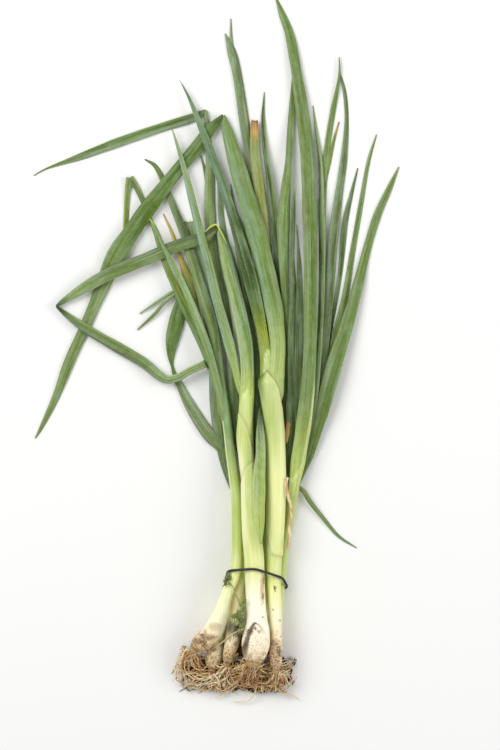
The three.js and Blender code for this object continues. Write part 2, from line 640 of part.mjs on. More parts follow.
function plateSolid(base) {
  const at = (distance, share) => ({
    x: base.x + base.dx * distance,
    y: base.y + base.dy * distance,
    z: base.z,
    a: base.a * share,
    b: base.b * share,
  });
  return tube([at(SEAM, 0.95), at(PLATE_LENGTH / 2, 0.9), at(PLATE_LENGTH, 0.5)], LEAF_SIDES);
}

// Long roots in plan, each from a plate of its plant to its tip.
const LONG_ROOTS = {
  left: [
    [[-22, -243], [-29, -258], [-25, -267], [-17, -272], [-6, -270], [6, -272], [18, -275], [31, -277]],
    [[-19, -246], [-31, -251], [-34, -262]],
    [[-19, -245], [-36, -251], [-46, -257]],
  ],
  rear_middle: [[[8, -256], [4, -264], [9, -275], [7, -278], [-1, -282]]],
  middle: [[[29, -255], [31, -267], [30, -279], [26, -284], [18, -286], [13, -286]]],
  right: [[[47, -261], [46, -267], [48, -275], [53, -279], [61, -279], [66, -283]]],
};

// A thin round tube through the points of a root, [x, y, z].
function rootSolid(points) {
  const rings = points.map(([x, y, z]) => ({ x, y, z, a: ROOT_RADIUS, b: ROOT_RADIUS }));
  return solidOf(bodyOf(cornersOf(rings, ROOT_SIDES, 0, 1)));
}

// A root leaves its plate within a fan, turns a little at every step and sinks to the surface.
function growRoot(base, draw) {
  const spread = (width) => (draw() - 0.5) * width;
  const side = spread(1.6 * base.a);
  let heading = base.heading + spread(2 * ROOT_FAN);
  let x = base.x + (base.dx * PLATE_LENGTH) / 2 - base.dy * side;
  let y = base.y + (base.dy * PLATE_LENGTH) / 2 + base.dx * side;
  let z = base.z + spread(base.b);
  const curl = spread(2 * ROOT_CURL);
  const length = ROOT_LENGTHS[0] + (ROOT_LENGTHS[1] - ROOT_LENGTHS[0]) * draw();
  const lowest = ROOT_RADIUS + ROOT_LIFT * draw() ** 2;
  const points = [[x, y, z]];
  for (let gone = 0; gone < length && y > ROOTS_END + ROOT_STEP; gone += ROOT_STEP) {
    x += ROOT_STEP * Math.cos(heading);
    y += ROOT_STEP * Math.sin(heading);
    z = Math.max(lowest, z - ROOT_DROP * (0.5 + draw()));
    heading += curl + spread(2 * ROOT_CURL);
    points.push([x, y, z]);
  }
  return rootSolid(points);
}

// A long root that loops from one plate under the next, which tangles the bunch together.
function tangle(from, to) {
  const start = new THREE.Vector3(from.x, from.y - PLATE_LENGTH / 2, from.z);
  const end = new THREE.Vector3(to.x, to.y - PLATE_LENGTH / 2, to.z);
  const low = Math.min(start.y, end.y) - ROOT_BOW;
  const curve = new THREE.CubicBezierCurve3(
    start,
    new THREE.Vector3(start.x, low, ROOT_RADIUS),
    new THREE.Vector3(end.x, low, ROOT_RADIUS),
    end,
  );
  return rootSolid(curve.getPoints(6).map((point) => point.toArray()));
}

function longRoot(base, route) {
  const drop = (i) => Math.max(ROOT_RADIUS, base.z - 2 * ROOT_DROP * i);
  return rootSolid(route.map(([x, y], i) => [x, y, drop(i)]));
}

function rootsMesh() {
  const draw = drawsFrom(ROOT_SEED);
  const bases = PLANTS.map(baseOf).sort((p, q) => p.x - q.x);
  const solids = bases.map(plateSolid);
  bases.forEach((base, i) => {
    if (i > 0) solids.push(tangle(bases[i - 1], base));
    const count = Math.round(2 * base.a * ROOTS_PER_MM);
    for (let k = 0; k < count; k++) solids.push(growRoot(base, draw));
    for (const route of LONG_ROOTS[base.plant] ?? []) solids.push(longRoot(base, route));
  });
  const bulbs = joined(PLANTS.map((plant) => tube(shanks[plant], SHANK_SIDES, SEAM)));
  const pieces = joined(solids).subtract(bulbs).decompose();
  const whole = pieces.reduce((best, piece) => (piece.volume() > best.volume() ? piece : best));
  return meshOf("roots", whole, "roots");
}

// ---- The bunch ----

const bunch = new THREE.Group();
for (const plant of PLANTS) {
  const onion = new THREE.Group();
  onion.add(shankMesh(plant), leavesMesh(plant));
  bunch.add(onion);
}
bunch.add(rootsMesh(), bandMesh(), scrapMesh("side_leaf", "leaves"));
bunch.add(scrapMesh("weed_sprig", "weed"), scrapMesh("dry_skin", "skin"));

export default bunch;
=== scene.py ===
"""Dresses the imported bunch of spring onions: bulbs, sheathed stems, waxy leaves, roots with soil,
a rubber band, a green weed and dry skin.

Plan positions are in millimetres, +Y towards the leaf tips and +Z up from the surface, and become
metres where a mesh is made. Every stem and leaf follows a route in plan. The routes are listed from
the bottom of the pile to the top, and each is let down onto what lies there before it.
"""

from dataclasses import dataclass, replace
from functools import lru_cache

import bpy
import numpy as np
from bpy.props import FloatProperty, FloatVectorProperty, IntProperty, PointerProperty
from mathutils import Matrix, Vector


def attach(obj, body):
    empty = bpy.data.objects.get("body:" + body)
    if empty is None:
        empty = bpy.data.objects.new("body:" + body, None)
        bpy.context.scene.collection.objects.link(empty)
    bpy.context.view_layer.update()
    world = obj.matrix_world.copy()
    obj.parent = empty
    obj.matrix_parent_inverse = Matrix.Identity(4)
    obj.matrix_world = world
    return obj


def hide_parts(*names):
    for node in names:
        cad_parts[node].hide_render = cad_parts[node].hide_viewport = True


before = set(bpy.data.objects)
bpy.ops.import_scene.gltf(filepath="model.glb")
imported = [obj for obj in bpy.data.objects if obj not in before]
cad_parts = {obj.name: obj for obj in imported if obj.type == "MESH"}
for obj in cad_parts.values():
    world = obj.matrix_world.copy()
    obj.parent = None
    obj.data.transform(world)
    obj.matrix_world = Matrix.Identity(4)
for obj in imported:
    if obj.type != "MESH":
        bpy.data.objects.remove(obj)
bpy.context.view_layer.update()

bl_info = {
    "name": "Spring onion bunch",
    "version": (1, 0, 0),
    "blender": (4, 5, 0),
    "location": "3D View > Sidebar > Onions",
    "description": "Builds a laid-down bunch of spring onions over its packed solids",
    "category": "Add Mesh",
}

MM = 0.001
SEEDS = {"roots": 7, "soil": 21, "bulbs": 4, "weed": 5, "dry skin": 9, "side leaf": 900}

# ---- Colours of the living plant ----

# Blue is waxy bloom over green, and moss is where the bloom is rubbed off.
# Deep and dusk are darker than the leaves' own greens: painted shade for the leaves that lie
# behind.
TONES = {
    "blue": "#7f9b79", "sage": "#869c6b", "pale": "#97ad72", "moss": "#70854b", "green": "#668040",
    "deep": "#3f5527", "dusk": "#5d7048", "grey": "#7b8d6c", "olive": "#74872a", "khaki": "#8c9552",
    "straw": "#c39a52", "brown": "#a8683a", "rust": "#c5884c", "lime": "#b2c76c",
    "fresh": "#9fb768", "fern": "#76935f", "slate": "#68856a", "bright": "#8b9a28",
    "leek": "#547026", "reed": "#7f9238", "flank": "#b2c26c", "celery": "#a2b568",
    "amber": "#c6a843",
}


def linear(code):
    """Linear colour of a tone or an sRGB hex code: x / 12.92 below 0.04045, and above it
    ((x + 0.055) / 1.055) ** 2.4."""
    code = TONES.get(code, code)
    x = np.array([int(code[i : i + 2], 16) for i in (1, 3, 5)]) / 255
    return np.where(x <= 0.04045, x / 12.92, ((x + 0.055) / 1.055) ** 2.4)


def points(text):
    """Rows of numbers from a text with a comma between two rows."""
    return np.array([row.split() for row in text.split(",")], float)


@dataclass
class Look:
    """A leaf's colours: its -X side, its +X side and where on its width they meet, from -1 to 1.
    It greens from neck, or else from the colour of its stem, over a share greens of the usual
    length. far holds, for each arm past a fold, its two sides, how far they reach and the tone
    beyond. along holds distances from the neck and tones there, lift raises it off what it lies
    on, and ragged is how much its width varies."""

    left: str = "blue"
    right: str = "green"
    meet: float = 0.1
    neck: str = ""
    tip: str = "sage"
    tip_length: float = 5
    far: tuple = ()
    fold_shade: float = 0.75
    along: tuple = ()
    lift: float = 0
    greens: float = 1.0
    ragged: float = 0.0


@dataclass
class Piece:
    """A piece of the pile before it is laid: a leaf folded over has an arm for each stretch."""

    kind: str
    plant: str
    look: Look
    arms: list


def maker(kind):
    """A function that makes a piece of one kind from its plant, look and routes."""
    return lambda plant, look, *routes: Piece(kind, plant, look, [points(r) for r in routes])


shank, leaf, strip, scrap = (maker(kind) for kind in ("shank", "leaf", "strip", "scrap"))


# x, y and width of each point of each route. From the bottom of the pile to its top.
PILE = [
    shank("rear_left", None, """-4 -260 7, -3 -252 13.5, -1.5 -243 12.5, 1.5 -230 9, 5.5 -214 6.5,
      9 -197 6.2, 14 -181 6.5, 18 -159 6.5, 16 -135 7, 14 -117 7, 11 -104 6"""),
    shank("rear_middle", None, """8 -254 7, 9.5 -247 10, 11.5 -239 11.5, 13.5 -229 12, 15 -217 12,
      16 -205 11, 17.5 -194 10, 21 -181 8.5, 25 -159 7.5, 24 -131 8, 23 -99 8, 22 -86 7"""),
    shank("rear_right", None, """34.5 -248 6.5, 35.5 -240 11, 36 -230 10.5, 38 -216 8.5,
      39.5 -199 8, 39 -181 8, 38 -155 9.5, 37 -127 10.5, 36 -99 11, 36 -86 10"""),
    shank("outer_right", None, """47 -252 6.5, 47 -242 11, 47 -233 10.5, 48.5 -218 8, 50 -199 7.5,
      52 -181 7, 54.5 -159 7, 58 -139 7, 60 -123 9, 61 -115 10, 63 -102 11"""),
    # Most leaves that lie behind start from a dark neck tone instead of their stem's pale colour:
    # painted shade.
    # leaves that lie behind: the left side
    leaf("rear_left", Look("leek", "leek", 0.0, neck="moss",
      along=((0, "moss"), (30, "grey"), (96, "grey"), (122, "leek"))),
      """14 -117 6.5, 10 -99 7, 6 -86 6.5, 1 -80 8, -5 -73 10.5, -11 -65 10.5, -22 -47 9,
      -30 -31 6.5, -34 -23 4, -36 -16 2.5, -37 -9 5.5, -36 5 11, -34 14 12.5, -31 26 12,
      -27.5 38 9.5, -24 50 4"""),
    leaf("rear_left", Look("grey", "sage", 0.4, neck="dusk"),
      """14 -117 5.5, 7 -99 6, 2 -75 8, -2 -47 8, -3 -15 8, -6 17 9, -10 41 10.5, -13 57 11,
      -18 81 10.5, -22 100 9"""),
    leaf("rear_middle", Look("sage", "moss", neck="deep", far=(("grey", "leek", 90, "moss"),)),
      """23 -99 8, 15 -63 9.5, 12.5 -35 10, 9.5 5 8.5, 5.5 37 7.5, 1 57 7, -4 81 9, -6 117 9,
      -6 149 7, -8 174 5, -9 189 2.5""",
      "-9 189 2.5, -18 184 7, -46 175 7.5, -78 164 8, -110 152 5.5, -138 142 1.5, -147 137 1"),
    strip("rear_middle", Look("dusk", "moss"), "-5.5 103 1, -7 116 3, -9 137 3, -13 153 1"),
    leaf("rear_left", Look("amber", "khaki", 0.3, tip="brown", tip_length=4,
      along=((0, "rust"), (60, "khaki"), (172, "khaki"), (200, "amber"))),
      """14 -117 5, 10 -87 4, 3 -51 4, -6 -3 3, -16 28 4, -20 40 7, -22.8 51 9, -26 61 6,
      -31 75 3.2, -36 90 2.8, -43 106 1"""),
    strip("rear_left", Look("moss", "sage"), "-22 47 3, -34 44 3, -46 37 2.5, -62 26 1"),
    strip("rear_left", Look("moss", "sage"), "-31 44 3, -43 34 3, -50 26 3, -64 13 1"),
    # leaves that lie behind: the middle
    leaf("rear_right", Look("grey", "dusk", 0.4, neck="deep"),
      """36 -99 8, 44 -60 9, 47 -25 9, 46 13 9, 41 69 9, 33 117 8, 25 157 8, 20.5 189 8.2,
      15.5 221 7.8, 11.5 237 7, 6.5 251 1"""),
    strip("rear_right", Look("grey", "slate"), "14.5 217 1, 13.5 228 4, 11.5 245 3, 11 263 1"),
    leaf("rear_middle", Look("grey", "blue", 0.0, neck="deep"),
      """23 -99 5.5, 22 -43 7, 20 13 8, 16.5 40 8.5, 12.5 63 7.5, 6.5 86 5.5, 3 106 5, 2 129 4,
      -1 146 1"""),
    leaf("rear_middle", Look("dusk", "blue", neck="deep"),
      "23 -99 5.5, 28 -43 5.5, 28 13 5.5, 26 53 5.5, 22 89 5, 14 110 3, 11 130 1"),
    leaf("rear_middle", Look("khaki", "khaki", 0.2, neck="deep", tip="brown", tip_length=9,
      ragged=0.05),
      """23 -99 7, 31 -43 9, 37 5 9.5, 39 53 9.5, 38 89 9.5, 34 125 9.5, 30 157 8, 30 173 7,
      30 181 5.5"""),
    leaf("rear_right", Look("deep", "moss", 0.3, neck="deep"),
      """36 -99 7, 47 -66 8, 52 -30 8, 52 5 7, 50 53 6.5, 46 101 6.5, 42 133 5.5, 38 165 4.5,
      37 185 3, 38 204 1"""),
    leaf("rear_right", Look("moss", "green", 0.2, neck="deep"),
      """36 -99 7, 49 -78 8, 56 -45 8.5, 57 -3 6.5, 54 53 7, 53 97 10.5, 55 125 8.6, 57.4 149 6,
      58.6 168 5.6, 60 189 5.4, 61 219 1.5"""),
    leaf("rear_right", Look("dusk", "deep", neck="dusk"),
      "36 -99 8, 34.5 -83 9, 34 -63 9, 33 -39 8.5, 30 -7 6.5, 25 21 5.5, 19 61 4, 15 81 2.5"),
    # leaves that lie behind: the right side
    leaf("outer_right", Look("dusk", "deep", neck="deep"),
      "61 -115 4, 70 -83 4, 82 -35 3, 91 13 3, 98 53 4, 103 101 5, 108 123 3, 113 143 1"),
    leaf("outer_right", Look("moss", "green", -0.2, neck="deep"),
      """61 -115 6.5, 70 -87 6.5, 82 -39 6.5, 92 -3 6.5, 102 37 5.5, 109 77 4.5, 116 117 4,
      122 150 3, 128 170 1"""),
    leaf("outer_right", Look("grey", "dusk", -0.1, neck="deep"),
      """61 -115 6.5, 69 -87 6.5, 78 -51 6.5, 85 -11 6.5, 89 29 7, 92 77 9, 97 117 7, 102 153 5.5,
      104 185 3.5, 102 206 3, 98 221 1"""),
    leaf("outer_right", Look("dusk", "deep", neck="deep"),
      """61 -115 7, 59 -85 9, 59 -58 9, 60 -31 8.5, 60 5 7.5, 61 45 5.5, 60 77 4, 61 107 4.5,
      62 127 1"""),
    leaf("outer_right", Look("deep", "dusk", neck="deep"),
      "61 -115 6.5, 65 -67 5.5, 65 -27 6.5, 66 21 6.5, 66 57 5, 65 81 2, 64 97 1"),
    strip("outer_right", Look("rust", "straw", tip="brown", lift=2, ragged=0.35),
      "55.4 -78 1.6, 56.6 -67 4.6, 58.4 -59 3.4, 60.2 -54 1"),
    leaf("outer_right", Look("moss", "green", neck="deep"),
      """61 -115 5, 69 -79 5, 77 -43 4, 82 1 4, 84 61 4, 85 109 5, 87 149 5, 93 189 4.5, 98 217 2,
      98 232 1"""),
    strip("outer_right", Look("olive", "moss", tip="brown", tip_length=6),
      "84 107 3, 87 133 3, 91 153 3.5, 95 170 2, 98 180 1"),
    leaf("outer_right", Look("deep", "sage", -0.2, neck="deep"),
      """61 -115 6.5, 70 -79 6.5, 78 -43 5, 82 1 4.5, 84 53 5.5, 84 105 5, 83 145 4, 80 171 2.5,
      77 193 1"""),
    leaf("outer_right", Look("moss", "green", 0.0),
      """61 -115 10, 65.5 -87 13, 70 -56 12.6, 74 -11 11.4, 75 37 12, 74 109 13, 72 157 12.5,
      67 197 11, 62 230 9, 58 251 8.5, 52 267 6, 46 283 1"""),
    leaf("outer_right", Look("moss", "green", -0.1, neck="moss"),
      """61 -115 6.5, 67.5 -101 7.4, 72.6 -90 8.2, 78.4 -71 10, 84.4 -50 12, 89.5 -31 13,
      95 -11 12.8, 102 10 11.4, 112 45 9.5, 120 77 7, 129 106 6.5, 138 126 5, 146 144 1"""),
    leaf("outer_right", Look("dusk", "blue", neck="moss"),
      "63 -112 4, 69 -116 4, 74 -124 4, 85 -138 3.2, 98 -153 2.5, 112 -162 1"),
    # the three front plants
    shank("left", None, """-18.5 -242.5 8, -17 -241 11.5, -13.5 -238 14.5, -9 -234 15.6,
      -4 -229 15.6, 0 -222 14.8, 3.2 -214 12.6, 6 -204 10, 9.5 -194 8.8, 14 -183 9, 16 -167 9,
      16.4 -139 9.2, 15.8 -123 9, 12.8 -99 8.4, 10.4 -82 8, 8.3 -64 7.6, 5.8 -46 7.8,
      3.6 -33 7.6"""),
    leaf("left", Look("green", "olive", 0.0, neck="sage", tip="green",
      far=(("reed", "reed", 60, "reed"),)),
      """4.8 -46 5.5, -2.5 -25 5.8, -11 -3 5.6, -22 22 6.5, -31 42 6.5, -42 67 5, -50 92 3.5,
      -57 110 4, -65 128 5, -70 135 6""",
      "-70 135 6, -71.8 125 4.8, -72.8 110 4.4, -73.6 97 4, -74.5 88 2.5"),
    leaf("left", Look("moss", "dusk", -0.1, neck="sage", tip="dusk", greens=0.6),
      """5.8 -46 7.6, 3 -28 8, 0 -3 9, -4.4 20 9.6, -10 37 11, -18 63 9, -26 89 7.5, -36 114 6,
      -43 132 5, -50 145 3.5, -58 150 1"""),
    shank("right", None, """47 -259 6.5, 47 -251 11, 47 -243 11, 47.6 -232 9.8, 46.8 -219 10.4,
      46.2 -203 11.4, 45.6 -190 12, 45.5 -179 12.8, 46 -155 15, 47 -123 16, 47.2 -99 16,
      46.6 -73 15.8, 45.2 -54 17.2, 44 -37 20, 43.2 -28 21.5, 43.4 -16 20"""),
    leaf("right", Look("fern", "moss", 0.3, far=(("leek", "leek", 110, "moss"),), fold_shade=0.5),
      """46 -30 15.5, 48.6 -3 13, 47.6 14 13.4, 45 33 15, 38.6 61 16.4, 33.8 82 16.6, 27.4 106 16,
      19 134 14.5, 12.6 157 12.4, 8.2 173 9, 5 185 3""",
      """5 185 3, -4.5 175 9, -15 161 11.6, -34 138 11, -52 115 13, -67 94 14.5, -81 72 16,
      -95 41 11, -107 13 9.5, -118 -11 9, -130 -42 6, -142 -67 3, -146 -74 1"""),
    shank("middle", None, """29 -253 13, 30 -246 19, 31 -237 22.5, 32 -227 20, 32 -218 16.5,
      31 -203 15.5, 30 -181 16, 29.5 -167 16, 28.2 -155 15.6, 26.6 -139 14, 25.4 -123 12.6,
      25 -107 12.6, 23.6 -90 13.8, 22.5 -72 15, 23 -58 14, 23.6 -42 13.4, 24.2 -29 12.6"""),
    # an outer leaf of the middle plant, in the valley between it and the right one
    scrap("side_leaf", Look("grey", "dusk", neck="lime", tip="deep", tip_length=18, lift=-1.8,
      greens=0.25, along=((0, "lime"), (24, "flank"), (50, "celery"), (74, "pale"), (100, "grey"))),
      """37.4 -156 2.5, 36.2 -140 5.6, 35.4 -123 7.8, 35.1 -107 8.4, 34.9 -90 8.6, 34.8 -73 7.4,
      34.4 -60 4.6, 34 -50 1.5"""),
    leaf("middle", Look("pale", "fern",
      far=(("moss", "dusk", 90, "sage"), ("moss", "dusk", 85, "sage")), fold_shade=0.3, greens=0.4),
      "23.6 -42 13, 24.4 -23 12, 22.8 1 12, 15.6 37 12.4, 8.8 65 10.6, 5 82 8.6, 1 95.5 3.5",
      "1 95.5 3.5, -10 87 9, -30 81 10, -54 71 10.5, -86 58 10.5, -106 47 9, -122 37 5, -129 32 2",
      """-129 32 2, -118 23 5.5, -102 12 8, -78 -2 9, -58 -14 9, -46 -24 8, -40 -27 6.5,
      -31 -25 6.5, -22 -20 6.5, -9 -14 6.5"""),
    # leaves that lie over all the rest
    leaf("left", Look("fern", "sage", 0.0, neck="sage", tip="lime", tip_length=8),
      """4 -46 5.8, -3.5 -15 6.6, -10 6 6.5, -21 34 6.5, -31 57 5, -42 78 3.5, -50 96 2.5,
      -54 102 1"""),
    leaf("middle", Look("blue", "sage", 0.2, neck="fresh", tip="pale", tip_length=10, greens=0.9),
      """21.6 -42 6, 17.4 -30 6, 14.4 -17 6.6, 10 1 9, 0 37 8, -7 67 7, -12 85 7, -18 109 6.5,
      -25 137 5, -30 155 3.5, -36 174 1"""),
    # Past its olive neck, this leaf's stretch of leek and deep green is partly painted shade over
    # its own blue-green.
    leaf("right", Look("slate", "dusk", 0.2, neck="bright",
      along=((38, "bright"), (66, "leek"), (90, "deep"), (128, "deep"), (175, "slate")),
      greens=0.6),
      """39.4 -30 11.5, 38 -2 9.8, 34.2 21 10.6, 30.4 38 12, 25 60 12.4, 16.4 90 9.6, 6 125 8.6,
      -5.6 157 7.4, -15.4 182 5.6, -23 200 3.2, -30 213.5 1"""),
    # a weed's twig with its side shoots, and a strip of dry skin
    scrap("weed_sprig", None, "15.6 -198 1.5, 18.6 -206 1.5, 18.5 -215 1.5, 18 -225 1.5",
      "18.8 -205 1.5, 20.5 -203.5 3.5, 22.5 -202.5 1", "18.6 -208 2, 20.8 -209.5 4.5, 22 -212 1.5",
      "18.6 -212 1.5, 15.5 -213.5 4.5, 12 -215.5 1", "18.4 -216 2, 20.6 -218 5, 21.8 -221 1.5",
      "18.3 -219 1.5, 15.5 -220.5 4, 13.5 -222 1", "18 -225 1.5, 18.5 -227.5 3.5, 17 -230 1"),
    scrap("dry_skin", None, "56 -105 2, 57 -122 2.5, 59 -136 2.5, 58.5 -149 2.5, 55 -161 2"),
]
PLANTS = tuple(piece.plant for piece in PILE if piece.kind == "shank")
SCRAPS = tuple(piece.plant for piece in PILE if piece.kind == "scrap")

# The side leaf as it is drawn: its foot widens to meet the middle stem's sheath.
SIDE_LEAF = """35 -158 2, 33.6 -146 8, 33.2 -136 10.5, 33.1 -123 11.6, 33.3 -107 11.4, 34.2 -96 9.8,
    34.9 -88 8.6, 34.8 -73 7.4, 34.4 -60 4.6, 34 -50 1.5"""

# Edges of sheaths in plan, each from the piece's -X side to its +X side. The sheath covers what
# lies on the roots' side. The key is the plant and the piece's place among that plant's own.
LIPS = {
    ("middle", 0): (
        "15 -52, 17 -54.7, 20.8 -60.8, 24.2 -66.4, 26.8 -74.4, 28.6 -81.4, 30.4 -90",
        "18.6 -110, 19.8 -104.6, 22.4 -99.2, 25.9 -94.7, 29.5 -93, 32 -94.2",
    ),
    ("right", 0): (
        """30 -26, 34 -20.5, 37.6 -18.6, 41.4 -22.6, 46.4 -28.2, 49.8 -35, 51.5 -44.2, 52.8 -50,
        54 -62""",
        "54 -168.5, 44 -166, 41 -155, 39.2 -146, 38.6 -120, 30 -100",
    ),
    ("right", 2): ("37.2 -30, 37.2 -20.8, 37.6 -11.2, 38.8 -5.6, 41 -2.6, 46 -2",),
    ("outer_right", 0): ("58 -106, 60.6 -107.2, 64 -101.6, 68.6 -93.8, 71 -80.6",),
    ("outer_right", 10): (
        "58 -106, 60.6 -107.2, 64 -101.6, 68.6 -93.8, 71 -80.6, 74 -61.6, 76 -47.2",
    ),
}
# Stains, scars and patches of painted light and shade on each plant: place in plan, half sizes
# across and along, colour, strength.
SPOTS = {
    "right": (
        (46.4, -193.6, 1.2, 2.4, "#7a4a20", 0.9), (42.5, -160, 3.2, 6, "#ecf1c4", 0.55),
        (39.8, -150, 1.3, 5, "#f2f4d8", 0.6), (44.5, -210.5, 0.8, 0.9, "#5a4020", 0.8),
        (50.5, -219, 1, 1, "#6a4a28", 0.7), (45.5, -237, 3.4, 3, "#6b4a2c", 0.65),
        (49.5, -244, 2.6, 4, "#3f2c1b", 0.75),
    ),
    "middle": (
        (36.6, -216, 0.7, 0.8, "#6a4a30", 0.8), (36, -194, 1.7, 13, "#d0a178", 0.8),
        (37.4, -186, 0.7, 5, "#7a5a3c", 0.8), (36.9, -200, 0.9, 3, "#8a6238", 0.8),
        # The dark brown at (26, -227.5) and (29.6, -224.6), under the arch of the torn skin, and
        # the dark streak at (23.4, -235) on its -X side are painted shadow.
        (26, -227.5, 2.4, 2.2, "#5e3f26", 0.85), (29.6, -224.6, 2.6, 1.5, "#6f4c2e", 0.8),
        (34.6, -227.4, 2.2, 1.2, "#9a744a", 0.7), (23.4, -235, 1.2, 7, "#6a4a2e", 0.6),
    ),
    "rear_middle": (
        # The pale patches at (15.2, -197) and (15, -208) are lighter than this bulb's own colour:
        # partly painted light against the shade between its neighbours.
        (15.2, -197, 4.4, 12, "#f4e4ae", 0.95), (15, -208, 5, 6, "#f0dfae", 0.85),
        (14.4, -226, 7, 7.5, "#4a2e14", 0.95), (15.6, -216, 4.6, 2.4, "#a58a5c", 0.7),
        (10.6, -234, 1.6, 3, "#8a6844", 0.7), (15, -238, 2, 2, "#8a6844", 0.7),
        (17.6, -230, 1.4, 7, "#3a2a1c", 0.8),
    ),
    "rear_left": (
        (-3, -243, 2.6, 2.2, "#7a5a38", 0.7), (3, -238, 2, 3, "#7a5a38", 0.6),
    ),
    "left": (
        (-1.5, -224, 5.5, 3.5, "#b8946a", 0.55), (-6, -232.5, 6.5, 2.6, "#7a5630", 0.6),
        (-13.5, -236, 5.5, 2.2, "#5a3c22", 0.7), (-11.5, -230.6, 3.4, 1.1, "#3c2a1c", 0.8),
    ),
}
# The torn outer skin of the largest bulb: the arch of its edge, and the sides it is open between.
SKIN_TEAR = """17.6 -256, 18.2 -247, 20.2 -237, 22.6 -230, 25.4 -224.2, 28.2 -220.8, 30.4 -219.8,
    33.6 -221.5, 37.2 -225, 39.6 -229, 41.5 -236, 42 -256"""
TEAR_SIDES = (-0.99, 0.96)

# ---- The pile ----

# The solids of the pile: corners of a section, longest step between rings, steepest slope.
SHANK_SIDES, LEAF_SIDES = 12, 8
SHANK_STEP, LEAF_STEP = 22, 24
SHANK_SLOPE, LEAF_SLOPE = 0.2, 0.12
CLEARANCE, SETTLE = 0.6, 0.4  # gap left between two pieces, and how far one sinks in
GROWN_TOGETHER = 90  # length from the neck on which a plant's own leaves may overlap
FOLD_HALF_HEIGHT = 2.5
# The map of what lies where: its squares, its corner, its size, and the spacing and smoothing of
# heights along a piece.
SQUARE, BIN, SMOOTHING = 1, 2, 10
MAP_X, MAP_Y, MAP_COLUMNS, MAP_ROWS = -165, -305, 330, 610
# The band: half its thickness, its gap to the stems, how its plane leans with height and slants
# from left to right, its middle, and where it lies on the map.
BAND_RADIUS, BAND_GAP, BAND_LEAN, BAND_SKEW = 1, 0.65, 0.47, -0.1
BAND_MIDDLE = (30, -187, 13)
BAND_FROM, BAND_TO, BAND_REACH = -2, 64, 3.5


@dataclass
class Arm:
    """Rings on a route: their places t on it, x, y, half widths a, distances s along the piece,
    half heights b, and the heights z of their middles."""

    route: np.ndarray
    t: np.ndarray
    x: np.ndarray
    y: np.ndarray
    a: np.ndarray
    s: np.ndarray
    b: np.ndarray = None
    z: np.ndarray = None


@dataclass
class Laid:
    """A piece where it lies: its arms, the height of its middle every BIN millimetres, the
    distance at which its leaves start, its edges, the colour that it starts with, and the stem
    that it grows from."""

    look: Look
    arms: list
    heights: np.ndarray
    neck: float = np.inf
    edges: tuple = ()
    young: np.ndarray = None
    stem: "Laid" = None


def on_route(route, t):
    """The columns of a route, such as x, y and width, at places t. Between two points each is
    the cubic whose end slopes come from the neighbouring points, weighed by the square roots of
    their distances."""
    p = np.vstack([2 * route[0] - route[1], route, 2 * route[-1] - route[-2]])
    gaps = np.sqrt(np.linalg.norm(np.diff(p, axis=0), axis=1))[:, None]
    i = np.clip(np.floor(t).astype(int), 0, len(route) - 2)
    w = (t - i)[:, None]
    p0, p1, p2, p3 = (p[i + k] for k in range(4))
    d0, d1, d2 = (gaps[i + k] for k in range(3))
    m1 = ((p1 - p0) / d0 - (p2 - p0) / (d0 + d1) + (p2 - p1) / d1) * d1
    m2 = ((p2 - p1) / d1 - (p3 - p1) / (d1 + d2) + (p3 - p2) / d2) * d1
    return (p1 + w * (m1 + w * (3 * (p2 - p1) - 2 * m1 - m2 + w * (2 * (p1 - p2) + m1 + m2)))).T


def places(route, step):
    """Places on a route with every listed point among them and none further apart than step."""
    lengths = np.hypot(*np.diff(route[:, :2], axis=0).T)
    parts = np.ceil(lengths / step).astype(int)
    return np.concatenate([i + np.arange(n) / n for i, n in enumerate(parts)] + [[len(parts)]])


def arm_on(route, step, start=0.0):
    """Rings on a route, no further apart than step. Its distances begin at start."""
    t = places(route, step)
    x, y, width = on_route(route, t)
    s = start + np.concatenate([[0], np.cumsum(np.hypot(np.diff(x), np.diff(y)))])
    return Arm(route, t, x, y, width / 2, s)


def shank_half_height(a):
    """As high as wide where slim, and a little flatter where wide."""
    return np.minimum(a, 3 + a / 2)


def leaf_half_height(a, from_neck):
    """0.8 of the width at the neck, falling away to 0.36 within a few centimetres."""
    return np.maximum(0.7, a * (0.36 + 0.44 * np.exp(-from_neck / 30)))


def half_height_at(b, f, sides):
    """Half the height of a polygon round an ellipse at a share f of its half width."""
    corner = 1 / np.cos(np.pi / sides)
    return b * np.minimum(1, np.sqrt(np.maximum(0, corner * corner - f * f)))


def under(arm, sides, reach):
    """The map squares under each stretch between two rings, with s and the half height there."""
    origin = np.array([MAP_X, MAP_Y])
    middle = np.stack([arm.x, arm.y], -1)
    for i, (p, q) in enumerate(zip(middle, middle[1:])):
        length = arm.s[i + 1] - arm.s[i]
        way = (q - p) / length
        margin = max(arm.a[i], arm.a[i + 1]) + reach
        first = np.floor((np.minimum(p, q) - margin - origin) / SQUARE)
        last = np.ceil((np.maximum(p, q) + margin - origin) / SQUARE)
        column, row = np.meshgrid(*map(np.arange, first, last + 1))
        dx, dy = MAP_X + (column + 0.5) * SQUARE - p[0], MAP_Y + (row + 0.5) * SQUARE - p[1]
        share = np.clip((dx * way[0] + dy * way[1]) / length, 0, 1)
        off = np.hypot(dx - way[0] * share * length, dy - way[1] * share * length)
        a, b = (size[i] + (size[i + 1] - size[i]) * share for size in (arm.a, arm.b))
        a = a + reach
        inside = off <= a
        squares = (row * MAP_COLUMNS + column).astype(int)
        half = half_height_at(b, off / a, sides)
        yield squares[inside], (arm.s[i] + share * length)[inside], half[inside]


def value_at(values, s):
    """A value at distance s from values BIN millimetres apart."""
    return np.interp(s, np.arange(len(values)) * BIN, values)


def evened(values):
    """The highest of each stretch, and then the average of those."""
    reach = round(SMOOTHING / BIN)
    for take in (np.max, np.mean):
        padded = np.pad(values, reach, mode="edge")
        values = take(np.lib.stride_tricks.sliding_window_view(padded, 2 * reach + 1), axis=1)
    return values


